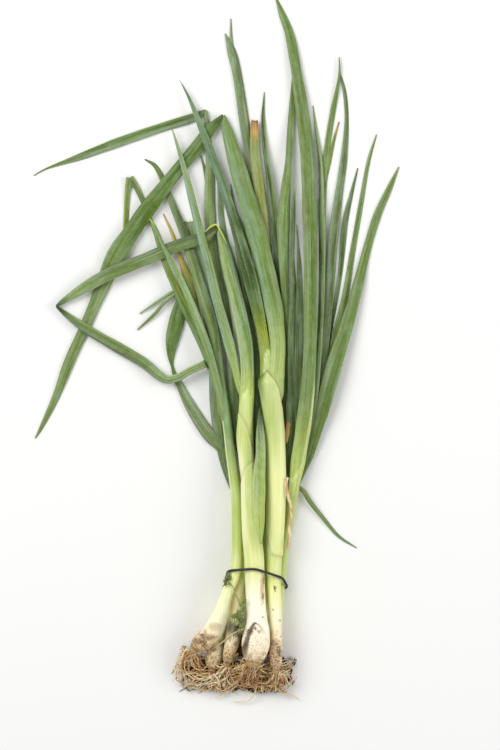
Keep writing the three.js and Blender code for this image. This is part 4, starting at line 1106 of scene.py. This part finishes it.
def plate_surface(skin, base):
    """The hard disc under a bulb: rings of shrinking size along the plant's own line, knobbly
    by a random share of each radius."""
    x, y, z, a, b, heading = base
    rng = np.random.default_rng(int(a * 100 + abs(x)))
    along = np.linspace(-0.5, 3.4, PLATE_RINGS)[:, None]
    size = np.sqrt(np.clip(1 - (along / 4) ** 2, 0, 1))
    _, c, n = circle(PLATE_AROUND)
    rough = 1 - 0.2 * rng.uniform(0, 1, (PLATE_RINGS, PLATE_AROUND))
    out, up = a * size * rough * c, b * size * rough * n
    dx, dy = np.cos(heading), np.sin(heading)
    grid = np.stack([x + dx * along + dy * out, y + dy * along - dx * out, z + up], -1)
    skin.add(grid, (out, along), linear("#c0a070"))


# Beds of dark soil, which also stand for painted shade under the roots and between the bulbs.
SOIL_AND_SHADE_BEDS = (  # a route in plan with widths, and how high the bed rises
    ("-27 -254 12, -14 -261 20, 4 -264 21, 24 -265 22, 42 -266 20, 56 -264 10", 1.4),
    ("1 -246 7, 10 -243 15, 24 -240 18, 38 -240 17, 47 -242 9", 6.5),
)
SOIL_AROUND = 90
CRUMB_RINGS, CRUMB_AROUND = 5, 7
CRUMB_LIMITS = (-24, -248, 5)  # crumbs lie right of this x, below this y and under this height
CRUMB_SIZES, BULB_CRUMB_SIZES = (0.5, 1.7), (0.25, 0.7)
BULB_CRUMBS, CRUMBS_A_PLACE = 90, 30  # how many stick to the bulbs, and to how few places


def soil_and_shade_bed(skin, route, height):
    """Soil held under the roots or between the bulbs, which also stands for painted shade in the
    gaps
    among them: a long low lump, ragged at its edge, whose upper side is a sum of waves of about 4
    and
    1.5 mm."""
    rng = np.random.default_rng(SEEDS["soil"])
    arm = arm_on(points(route), 0.8)
    arm.z = np.full(len(arm.x), 1.0)
    _, c, n = circle(SOIL_AROUND)
    s = arm.s[:, None]
    a = arm.a[:, None] * (1 + 0.1 * waves(rng, 3 * c, s, 4, 4, 20))
    out = a * smooth(0.4 + np.minimum(s, arm.s[-1] - s) / 5) * c
    lumps = 1.5 * waves(rng, out, s, 5, 5, 20) + 0.6 * waves(rng, out, s, 1.6, 1.6, 20)
    up = np.where(n > 0, (height + 0.6 * lumps) * np.clip(n, 0, 1) ** 0.6, -1.2)
    shade = smooth(0.5 + 0.6 * waves(rng, out, s, 2.4, 2.4, 20))
    skin.add(around(arm, out, up), (0, 0), mix("#3a2410", "#7a552e", shade))


def crumbs(skin, near, count, sizes):
    """Lumps of soil: small spheres of uneven radius, each a few rings of a few corners."""
    rng = np.random.default_rng(count)
    centres = near[rng.integers(0, len(near), count)] + rng.normal(0, 0.6, (count, 3))
    size = rng.uniform(*sizes, (count, 1, 1)) * rng.uniform(0.5, 1, (count, 1, 1))
    rough = size * rng.uniform(0.6, 1.15, (count, CRUMB_RINGS, CRUMB_AROUND))
    height = np.linspace(-0.45, 0.45, CRUMB_RINGS)[:, None] * np.pi
    _, c, n = circle(CRUMB_AROUND)
    ball = np.broadcast_arrays(np.cos(height) * c, -np.cos(height) * n, np.sin(height))
    tint = mix("#33210f", "#6e4f30", rng.uniform(0, 1, count))[:, None, None]
    skin.add(centres[:, None, None] + rough[..., None] * np.stack(ball, -1), (0, 0), tint)


def on_bulbs(count):
    """Points scattered on the upper skin of the bulbs, thinning out away from the roots."""
    rng = np.random.default_rng(SEEDS["bulbs"])
    scattered = []
    for plant in PLANTS:
        arm = stem_of(plant, 1)
        angle = rng.uniform(0.15, np.pi - 0.15, count)
        row = (rng.uniform(0, 1, count) ** 2 * SOILED[plant] * 1.2).astype(int)
        out, up = arm.a[row] * np.cos(angle), shank_half_height(arm.a[row]) * np.sin(angle)
        plan = np.stack([arm.x, arm.y], -1)[row] + across(arm)[row] * out[:, None]
        scattered.append(np.column_stack([plan, arm.z[row] + up]))
    return np.concatenate(scattered)


# ---- The rubber band ----

BAND_STEPS, BAND_AROUND = 180, 12


def band_loop(radius):
    """A loop round all the stems in its slanting plane. At every angle it stands one radius off
    the point that lies furthest out, x + a^2 cos / r and z + b^2 sin / r with
    r = hypot(a cos, b sin), of any stem's section there."""
    stems = [stem_of(plant, 2) for plant in PLANTS]
    _, ox, oz = circle(BAND_STEPS)
    y = np.full(BAND_STEPS, float(BAND_MIDDLE[1]))
    stand = radius + BAND_GAP
    for _ in range(4):
        x, z, a = (
            np.stack([np.interp(y, stem.y, getattr(stem, key)) for stem in stems]) for key in "xza"
        )
        b = shank_half_height(a)
        size = np.hypot(a * ox, b * oz)
        px, pz = x + a * a * ox / size, z + b * b * oz / size
        first = np.argmax(px * ox + pz * oz, axis=0)[None]
        centre_x = np.take_along_axis(px, first, 0)[0] + ox * stand
        centre_z = np.take_along_axis(pz, first, 0)[0] + oz * stand
        y = band_y(centre_x, centre_z)
    axis = np.array([-BAND_SKEW, 1, -BAND_LEAN])
    axis /= np.linalg.norm(axis)
    outward = np.stack([ox, 0 * ox, oz], -1)
    radial = outward - (outward @ axis)[:, None] * axis
    radial /= np.linalg.norm(radial, axis=1)[:, None]
    return np.stack([centre_x, y, centre_z], -1), radial, axis


def band_surface(skin, radius, tone):
    """A round cord: each ring is radius times cos outward and minus sin along the axis."""
    centre, radial, axis = band_loop(radius)
    angle, c, n = circle(BAND_AROUND)
    ring = c[:, None] * radial[:, None] - n[:, None] * axis
    run = np.cumsum(np.linalg.norm(np.diff(centre, axis=0, prepend=centre[-1:]), axis=1))
    skin.add(centre[:, None] + radius * ring, (radius * angle, run[:, None]), tone, loop=True)


# ---- Weed and dry skin ----

# Leaflets of the weed: where each starts and ends in plan, and its greatest width.
LEAFLETS = """20.5 -205 23.6 -201.8 3.2, 19 -207.5 18.6 -203.4 3.6, 20 -209 23 -210.6 4.4,
    19 -211 21.6 -214.6 5.2, 18.6 -212 15.6 -211.6 4.4, 17 -213.6 12.2 -216.6 4.6,
    18.4 -215 17.2 -218.8 4.2, 18.6 -217 21.6 -220.6 5, 17.6 -219.6 13.6 -222.2 4.6,
    18.2 -222 21.8 -224.2 4.2, 18 -225 17 -228.8 3.8"""
TOP_LEAFLETS = """9 -187 11 -183.4 4, 8.6 -188 7.2 -183 4.2, 8.6 -185 9.6 -180.2 3.8,
    8 -189 5.2 -186.6 3.6, 8.6 -190 11 -189.4 3, 7.4 -189 6 -191.4 3"""
TOP_TWIGS = ("4.6 -192 1, 7.6 -189 1, 9 -184 1", "9 -188 1, 12 -191 1, 14.6 -198 1, 18 -207 1")
WEED_TOP = 26.5  # height of the sprig that is caught in the band
LEAFLET_RINGS, LEAFLET_AROUND, STRIP_AROUND = 26, 16, 16


def weed_surface(skin, twigs, leaflets, level, rng):
    """Thin closed leaflets whose half width is sqrt(sin(pi t)) (0.8 + 0.2 cos(8 pi t)) of its
    greatest, cupped by the square of the distance across, on a twig of tubes."""
    green = [linear(code) for code in ("#667331", "#828f40", "#a3ab5c", "#4e5a26")]
    t = np.linspace(0.02, 0.98, LEAFLET_RINGS)
    arch = np.sin(np.pi * t)
    _, c, n = circle(LEAFLET_AROUND)
    for x0, y0, x1, y1, width in points(leaflets):
        lobes = np.sqrt(arch) * (0.8 + 0.2 * np.cos(8 * np.pi * t))
        a = width / 2 * lobes * rng.uniform(0.9, 1.1, len(t))
        z = level + rng.uniform(0.4, 2.6) * arch + rng.uniform(-1.5, 1.5) * t
        s = t * np.hypot(x1 - x0, y1 - y0)
        arm = Arm([], t, x0 + (x1 - x0) * t, y0 + (y1 - y0) * t, a, s, z=z)
        out = a[:, None] * c
        cup = 0.14 * rng.uniform(-1, 1) * out**2
        up = 0.28 * n + cup + 0.3 * np.sin(out * 3 + 9 * t[:, None])
        shade = mix(green[rng.integers(0, 4)], green[rng.integers(0, 4)], t)[:, None]
        vein = 0.25 * np.exp(-((out / 0.5) ** 2))
        skin.add(around(arm, out, up), (out, s[:, None]), mix(shade, "#90ac70", vein))
    for route in twigs:
        t = places(route, 1.2)
        x, y, _ = on_route(route, t)
        path = np.stack([x, y, level - 0.6 + 0.4 * np.sin(t * 2)], -1)
        tubes(skin, path, np.linspace(0.45, 0.3, len(t)), "#a3ad68", 6)


def dry_skin_surface(skin, laid):
    """A ribbon that curls up at its sides: up = curl (out / a)^2 plus or minus its thickness."""
    rng = np.random.default_rng(SEEDS["dry skin"])
    arm = fine(laid, laid.arms[0], 0.8)
    _, c, n = circle(STRIP_AROUND)
    s = arm.s[:, None]
    a = arm.a[:, None] * (1.0 + 0.35 * waves(rng, 0 * s, s, 1, 9))
    out = a * c + 0.9 * np.sin(s / 5)
    curl = 1.3 * waves(rng, 0 * s, s, 1, 22)
    up = curl * c**2 + 0.28 * n + 0.5 * np.sin(s / 7)
    shade = smooth(waves(rng, out, s, 2.5, 14) + 0.5)
    skin.add(around(arm, out, up), (out, s), mix("#ecdcae", "#b98757", 0.7 * shade))


# ---- Materials ----


def add(tree, kind, settings=None, **inputs):
    """Adds one node, with its settings, and its inputs by name or number as values or as sockets
    to link."""
    made = tree.nodes.new(f"ShaderNode{kind}")
    for name, value in (settings or {}).items():
        setattr(made, name, value)
    for name, value in inputs.items():
        socket = made.inputs[int(name[1:]) if name[1:].isdigit() else name.replace("_", " ")]
        if isinstance(value, bpy.types.NodeSocket):
            tree.links.new(value, socket)
        else:
            socket.default_value = value
    return made


def new_material(name):
    """A material and its node tree, emptied."""
    material = bpy.data.materials.new(name)
    material.use_nodes = True
    material.node_tree.nodes.clear()
    return material, material.node_tree


def on_grain(tree, across_mm, along_mm, detail=2.0, shift=0.0):
    """Noise whose patches are about across_mm wide and along_mm long on a piece's own grain."""
    grain = add(tree, "Attribute", {"attribute_name": "grain"}).outputs["Vector"]
    scale = (1 / across_mm, 1 / along_mm, 1)
    where = add(tree, "Mapping", None, Vector=grain, Scale=scale, Location=(shift, shift, 0))
    noise = add(tree, "TexNoise", None, Vector=where.outputs[0], Scale=1.0, Detail=detail)
    return noise.outputs["Fac"]


def on_object(tree, size_mm, detail):
    """Noise in the object's own coordinates, whose patches are about size_mm across."""
    where = add(tree, "TexCoord").outputs["Object"]
    noise = add(tree, "TexNoise", None, Vector=where, Scale=1 / (size_mm * MM), Detail=detail)
    return noise.outputs["Fac"]


def finish(tree, layers, bump=None, colour=None, **values):
    """Ends a tree in a Principled shader with these values. Its colour is the given one, or else
    the one stored on the points, under layers. Each layer has its way of mixing, a pattern and
    the values of it at which the layer starts and is whole, its strength and its colour. bump
    has a pattern, a strength and a distance."""
    colour = colour or add(tree, "Attribute", {"attribute_name": "tint"}).outputs["Color"]
    for way, pattern, start, whole, strength, over in layers:
        if pattern:
            rise = add(tree, "MapRange", None, Value=pattern, _1=start, _2=whole, _4=strength)
            strength = rise.outputs["Result"]
        over = (*linear(over), 1) if isinstance(over, str) else (*np.broadcast_to(over, 3), 1)
        mixing = {"data_type": "RGBA", "blend_type": way}
        colour = add(tree, "Mix", mixing, _0=strength, _6=colour, _7=over).outputs[2]
    if bump:
        height, strength, distance = bump
        made = add(tree, "Bump", None, Height=height, Strength=strength, Distance=distance)
        values["Normal"] = made.outputs["Normal"]
    shader = add(tree, "BsdfPrincipled", None, Base_Color=colour, **values)
    add(tree, "OutputMaterial", None, Surface=shader.outputs["BSDF"])


def leaf_material():
    """Waxy leaf cuticle. Dull bloom over green with fine lengthwise veins, drawn at twice their
    real half millimetre, patches where the wax is rubbed off, and a soft broad sheen."""
    material, tree = new_material("waxy_leaf_cuticle")
    veins = on_grain(tree, 1.1, 60)
    patches = on_grain(tree, 7, 26, 4, 3)
    specks = on_grain(tree, 0.9, 1.4, 1, 8)
    mottle = on_grain(tree, 1.8, 5, 3, 21)
    rough = add(tree, "MapRange", None, Value=patches, _1=0.35, _2=0.7, _3=0.38, _4=0.6)
    layers = (
        ("MULTIPLY", None, 0, 1, 1.0, (0.98, 0.98, 0.88)),
        ("MULTIPLY", mottle, 0.5, 0.62, 0.6, (0.8, 0.83, 0.52)),
        ("MULTIPLY", veins, 0.55, 0.35, 0.5, 0.55),
        ("MIX", veins, 0.56, 0.72, 0.22, "#c4d5a9"),
        ("MIX", patches, 0.5, 0.72, 0.3, "#a3b893"),
        ("MIX", specks, 0.68, 0.74, 0.38, "#cfdcb0"),
    )
    rough = rough.outputs["Result"]
    finish(
        tree, layers, (veins, 0.5, 0.25 * MM), Roughness=rough, IOR=1.45, Specular_IOR_Level=0.34
    )
    return material


def shank_material():
    """Wet white skin of the stem. Light soaks in below it, and fine fibres run along it."""
    material, tree = new_material("moist_stem_skin")
    fibres = on_grain(tree, 0.8, 70)
    layers = (
        ("MULTIPLY", fibres, 0.52, 0.32, 0.2, 0.7),
        ("MIX", on_grain(tree, 5, 18, 3, 5), 0.5, 0.75, 0.2, "#f7f5e2"),
    )
    finish(
        tree, layers, (fibres, 0.35, 0.25 * MM), Roughness=0.36, IOR=1.4, Subsurface_Weight=0.22,
        Subsurface_Radius=(1.0, 0.9, 0.5), Subsurface_Scale=2.5 * MM,
    )
    return material


def plain_material(name, size_mm, dark, roughness, bump_mm, soak=0.0):
    """The stored colour, mottled to a darker share on the grain, with a matching bump."""
    material, tree = new_material(name)
    mottle = on_grain(tree, *size_mm, 3)
    finish(
        tree, [("MULTIPLY", mottle, 0.6, 0.35, 1.0, dark)], (mottle, 0.6, bump_mm * MM),
        Roughness=roughness, Subsurface_Weight=soak, Subsurface_Scale=1 * MM,
    )
    return material


def soil_material():
    """Dry garden soil. Dull brown grains about half a millimetre across."""
    material, tree = new_material("garden_soil")
    grains = on_object(tree, 1 / 1.8, 3.0)
    layers = [("MULTIPLY", grains, 0.6, 0.35, 1.0, 0.5)]
    finish(tree, layers, (grains, 0.8, 0.3 * MM), Roughness=0.95)
    return material


def card_material(tone):
    """Matt white card of the floor, with the faintest unevenness."""
    material, tree = new_material("matt_white_card")
    layers = [("MULTIPLY", on_object(tree, 200, 2.0), 0.3, 0.7, 0.02, 0.9)]
    finish(tree, layers, colour=(*tone, 1), Roughness=0.9)
    return material


# ---- Settings ----


def length(name, description, default, least, **limits):
    """A setting in metres."""
    return FloatProperty(
        name=name, description=description, default=default, min=least, unit="LENGTH",
        subtype="DISTANCE", **limits,
    )


def share_of(name, description, default, least, most):
    """A setting that is a share."""
    return FloatProperty(
        name=name, description=description, default=default, min=least, max=most, subtype="FACTOR"
    )


def colour_of(name, description, code):
    """A setting that is a colour, with the default that a code gives."""
    return FloatVectorProperty(
        name=name, description=description, default=tuple(linear(code)), min=0.0, max=1.0, size=3,
        subtype="COLOR",
    )


class OnionShankSettings(bpy.types.PropertyGroup):
    """How the stems are drawn."""

    step: length("Ring Spacing", "Distance between two rings of a stem", 0.0009, 0.0005)
    sheath: length("Sheath", "Thickness of a sheath at its edge", 0.00045, 0.0)
    dirt: share_of("Dirt", "How far up the bulbs soil stains their skin", 0.1, -1.0, 1.0)


class OnionLeafSettings(bpy.types.PropertyGroup):
    """How the leaves are drawn."""

    step: length("Ring Spacing", "Distance between two rings of a leaf", 0.0025, 0.001)
    furrow: share_of(
        "Furrow", "Depth of the furrow as a share of the leaf's thickness", 0.24, 0.0, 0.6
    )
    pale_neck: length("Pale Neck", "Distance over which a leaf greens from its neck", 0.085, 0.01)


class OnionRootSettings(bpy.types.PropertyGroup):
    """How the roots and the soil among them are drawn."""

    per_centimetre: IntProperty(
        name="Roots", description="Roots on each centimetre of a bulb's base", default=90, min=1,
        max=120,
    )
    shortest: length("Shortest", "Length of the shortest root", 0.012, 0.005)
    longest: length("Longest", "Length of the longest root", 0.042, 0.005)
    thickness: length("Thickness", "Thickness of a middling root at its base", 0.0011, 0.0002)
    crumbs: IntProperty(
        name="Crumbs", description="Lumps of soil held by the roots", default=900, min=0, max=3000
    )


class OnionBandSettings(bpy.types.PropertyGroup):
    """How the rubber band is drawn."""

    thickness: length("Thickness", "Thickness of the band", 0.002, 0.0005, max=0.003)
    tone: colour_of("Colour", "Colour of the rubber", "#1b2133")


class OnionStageSettings(bpy.types.PropertyGroup):
    """The floor, the light and the camera."""

    floor: colour_of("Floor", "Colour of the card", "#f1f1ef")
    key_power: FloatProperty(
        name="Key Light", description="Power of the large soft light", default=30.0, min=0.0,
        unit="POWER",
    )
    side_power: FloatProperty(
        name="Side Light", description="Power of the lower light on the right", default=12.0,
        min=0.0, unit="POWER",
    )
    world: FloatProperty(
        name="World", description="Strength of the white light from all round", default=0.5,
        min=0.0,
    )
    distance: length("Camera Height", "Height of the camera over the floor", 4.0, 1.0)


# ---- Operators ----


class ONIONS_OT_shanks(bpy.types.Operator):
    """Build the bulb and sheathed stem of every plant"""

    bl_idname = "onions.shanks"
    bl_label = "Stems"

    def execute(self, context):
        settings = context.scene.onion_shanks
        material = shank_material()
        sizes = settings.step / MM, settings.sheath / MM, settings.dirt
        for plant in PLANTS:
            skin = Skin()
            shank_surface(skin, plant, laid_bunch()[plant][0], *sizes)
            skin.object(f"{plant}_stem", material, "shank", [f"{plant}_shank"])
        return {"FINISHED"}


class ONIONS_OT_leaves(bpy.types.Operator):
    """Build the leaves of every plant, one object for each plant"""

    bl_idname = "onions.leaves"
    bl_label = "Leaves"

    def execute(self, context):
        settings = context.scene.onion_leaves
        material = leaf_material()
        sizes = settings.step / MM, settings.furrow, settings.pale_neck / MM
        for number, plant in enumerate(PLANTS):
            skin = Skin()
            for place, laid in enumerate(laid_bunch()[plant][1:]):
                leaf_surface(skin, laid, 100 * number + place, *sizes)
                if plant == "middle" and len(laid.arms) > 2:
                    rim_surface(skin, laid)
            skin.object(f"{plant}_foliage", material, "leaves", [f"{plant}_leaves"])
        skin = Skin()
        side = replace(laid_bunch()["side_leaf"][0], arms=arms_of([points(SIDE_LEAF)], np.inf))
        leaf_surface(skin, side, SEEDS["side leaf"], *sizes)
        skin.object("side_foliage", material, "leaves", ["side_leaf"])
        return {"FINISHED"}


class ONIONS_OT_roots(bpy.types.Operator):
    """Build the mat of roots and the soil it holds"""

    bl_idname = "onions.roots"
    bl_label = "Roots"

    def execute(self, context):
        settings = context.scene.onion_roots
        roots, soil = Skin(), Skin()
        lengths = settings.shortest / MM, settings.longest / MM
        near = root_tangle(roots, settings.per_centimetre / 10, lengths, settings.thickness / MM)
        # Dry root fibre. Dull tan threads, streaked darker along their length.
        fibre = plain_material("dry_root_fibre", (0.6, 5), 0.65, 0.8, 0.15)
        roots.object("root_mat", fibre, "roots", ["roots"])
        # The beds and the crumbs among the roots are soil, and also painted shade in the gaps
        # between roots and bulbs.
        for route, height in SOIL_AND_SHADE_BEDS:
            soil_and_shade_bed(soil, route, height)
        left, end, top = CRUMB_LIMITS
        near = near[(near[:, 0] > left) & (near[:, 1] < end) & (near[:, 2] < top)]
        crumbs(soil, near, settings.crumbs, CRUMB_SIZES)
        crumbs(soil, on_bulbs(settings.crumbs // CRUMBS_A_PLACE), BULB_CRUMBS, BULB_CRUMB_SIZES)
        soil.object("soil", soil_material(), "roots")
        return {"FINISHED"}


class ONIONS_OT_band(bpy.types.Operator):
    """Build the rubber band round the stems"""

    bl_idname = "onions.band"
    bl_label = "Rubber Band"

    def execute(self, context):
        settings = context.scene.onion_band
        skin = Skin()
        band_surface(skin, settings.thickness / MM / 2, np.array(settings.tone))
        # Rubber. Nearly black blue, faintly uneven, with a dull broad highlight.
        rubber = plain_material("rubber", (0.8, 3), 0.75, 0.48, 0.06)
        skin.object("band", rubber, "band", ["rubber_band"])
        return {"FINISHED"}


class ONIONS_OT_weed(bpy.types.Operator):
    """Build the weed caught below the band"""

    bl_idname = "onions.weed"
    bl_label = "Weed"

    def execute(self, context):
        skin = Skin()
        rng = np.random.default_rng(SEEDS["weed"])
        sprig = laid_bunch()["weed_sprig"][0]
        weed_surface(skin, [arm.route for arm in sprig.arms], LEAFLETS, sprig.heights[0], rng)
        weed_surface(skin, [points(twig) for twig in TOP_TWIGS], TOP_LEAFLETS, WEED_TOP, rng)
        # Leaf of a soft weed. Fresh green, thin enough for a little light to soak in.
        leaf_flesh = plain_material("soft_weed_leaf", (1.2, 1.2), 0.7, 0.55, 0.1, 0.2)
        skin.object("weed", leaf_flesh, "weed", ["weed_sprig"])
        return {"FINISHED"}


class ONIONS_OT_dry_skin(bpy.types.Operator):
    """Build the loose strip of dry skin"""

    bl_idname = "onions.dry_skin"
    bl_label = "Dry Skin"

    def execute(self, context):
        skin = Skin()
        dry_skin_surface(skin, laid_bunch()["dry_skin"][0])
        # Papery onion skin. Cream and tan, lined lengthwise, nearly without sheen.
        paper = plain_material("papery_skin", (0.7, 12), 0.75, 0.6, 0.1, 0.1)
        skin.object("skin_strip", paper, "skin", ["dry_skin"])
        return {"FINISHED"}


FLOOR_SIZE = 3.0
KEY_PLACE, KEY_SIZE = (-1.1, 0.8, 1.6), 1.3
SIDE_PLACE, SIDE_SIZE = (1.5, 0.1, 1.0), 0.9
VIEW_CENTRE = (0.0264, -0.0232, 0.015)
VIEW_LENGTH, SENSOR = 0.6, 36.0


class ONIONS_OT_stage(bpy.types.Operator):
    """Lay the floor, set the lights and place the camera"""

    bl_idname = "onions.stage"
    bl_label = "Stage"

    def execute(self, context):
        scene, settings = context.scene, context.scene.onion_stage

        def put(name, data, place):
            thing = bpy.data.objects.new(name, data)
            thing.location = place
            scene.collection.objects.link(thing)
            return thing

        half = FLOOR_SIZE / 2
        mesh = bpy.data.meshes.new("floor")
        corners = [(-half, -half, 0), (half, -half, 0), (half, half, 0), (-half, half, 0)]
        mesh.from_pydata(corners, [], [(0, 1, 2, 3)])
        mesh.materials.append(card_material(settings.floor))
        put("floor", mesh, (0, 0, 0))
        for name, place, size, power in (
            ("key", KEY_PLACE, KEY_SIZE, settings.key_power),
            ("side", SIDE_PLACE, SIDE_SIZE, settings.side_power),
        ):
            lamp = bpy.data.lights.new(name, "AREA")
            lamp.shape, lamp.size, lamp.energy = "SQUARE", size, power
            light = put(name, lamp, place)
            light.rotation_euler = (-Vector(place)).to_track_quat("-Z", "Y").to_euler()
        scene.world = scene.world or bpy.data.worlds.new("studio")
        scene.world.use_nodes = True
        sky = scene.world.node_tree.nodes["Background"]
        sky.inputs["Color"].default_value = (1, 1, 1, 1)
        sky.inputs["Strength"].default_value = settings.world
        camera = bpy.data.cameras.new("view")
        camera.sensor_width = SENSOR
        camera.lens = SENSOR * (settings.distance - VIEW_CENTRE[2]) / VIEW_LENGTH
        scene.camera = put("view", camera, (*VIEW_CENTRE[:2], settings.distance))
        scene.view_settings.view_transform = "Standard"
        return {"FINISHED"}


# ---- Add-on ----

# Operators in the order they run, each with the name and the class of the settings it reads.
STEPS = (
    (ONIONS_OT_shanks, "onion_shanks", OnionShankSettings),
    (ONIONS_OT_leaves, "onion_leaves", OnionLeafSettings),
    (ONIONS_OT_roots, "onion_roots", OnionRootSettings),
    (ONIONS_OT_band, "onion_band", OnionBandSettings),
    (ONIONS_OT_weed, None, None),
    (ONIONS_OT_dry_skin, None, None),
    (ONIONS_OT_stage, "onion_stage", OnionStageSettings),
)


class ONIONS_PT_panel(bpy.types.Panel):
    """Buttons and settings for every piece"""

    bl_label = "Spring Onion Bunch"
    bl_idname = "ONIONS_PT_panel"
    bl_space_type = "VIEW_3D"
    bl_region_type = "UI"
    bl_category = "Onions"

    def draw(self, context):
        for operator, group, settings in STEPS:
            box = self.layout.box()
            box.operator(operator.bl_idname)
            for name in settings.__annotations__ if settings else ():
                box.prop(getattr(context.scene, group), name)


def register():
    bpy.utils.register_class(ONIONS_PT_panel)
    for operator, group, settings in STEPS:
        bpy.utils.register_class(operator)
        if settings:
            bpy.utils.register_class(settings)
            setattr(bpy.types.Scene, group, PointerProperty(type=settings))


def unregister():
    for operator, group, settings in reversed(STEPS):
        if settings:
            delattr(bpy.types.Scene, group)
            bpy.utils.unregister_class(settings)
        bpy.utils.unregister_class(operator)
    bpy.utils.unregister_class(ONIONS_PT_panel)


def main():
    register()
    bpy.ops.onions.shanks()
    bpy.ops.onions.leaves()
    bpy.ops.onions.roots()
    bpy.ops.onions.band()
    bpy.ops.onions.weed()
    bpy.ops.onions.dry_skin()
    bpy.ops.onions.stage()


if __name__ == "__main__":
    main()
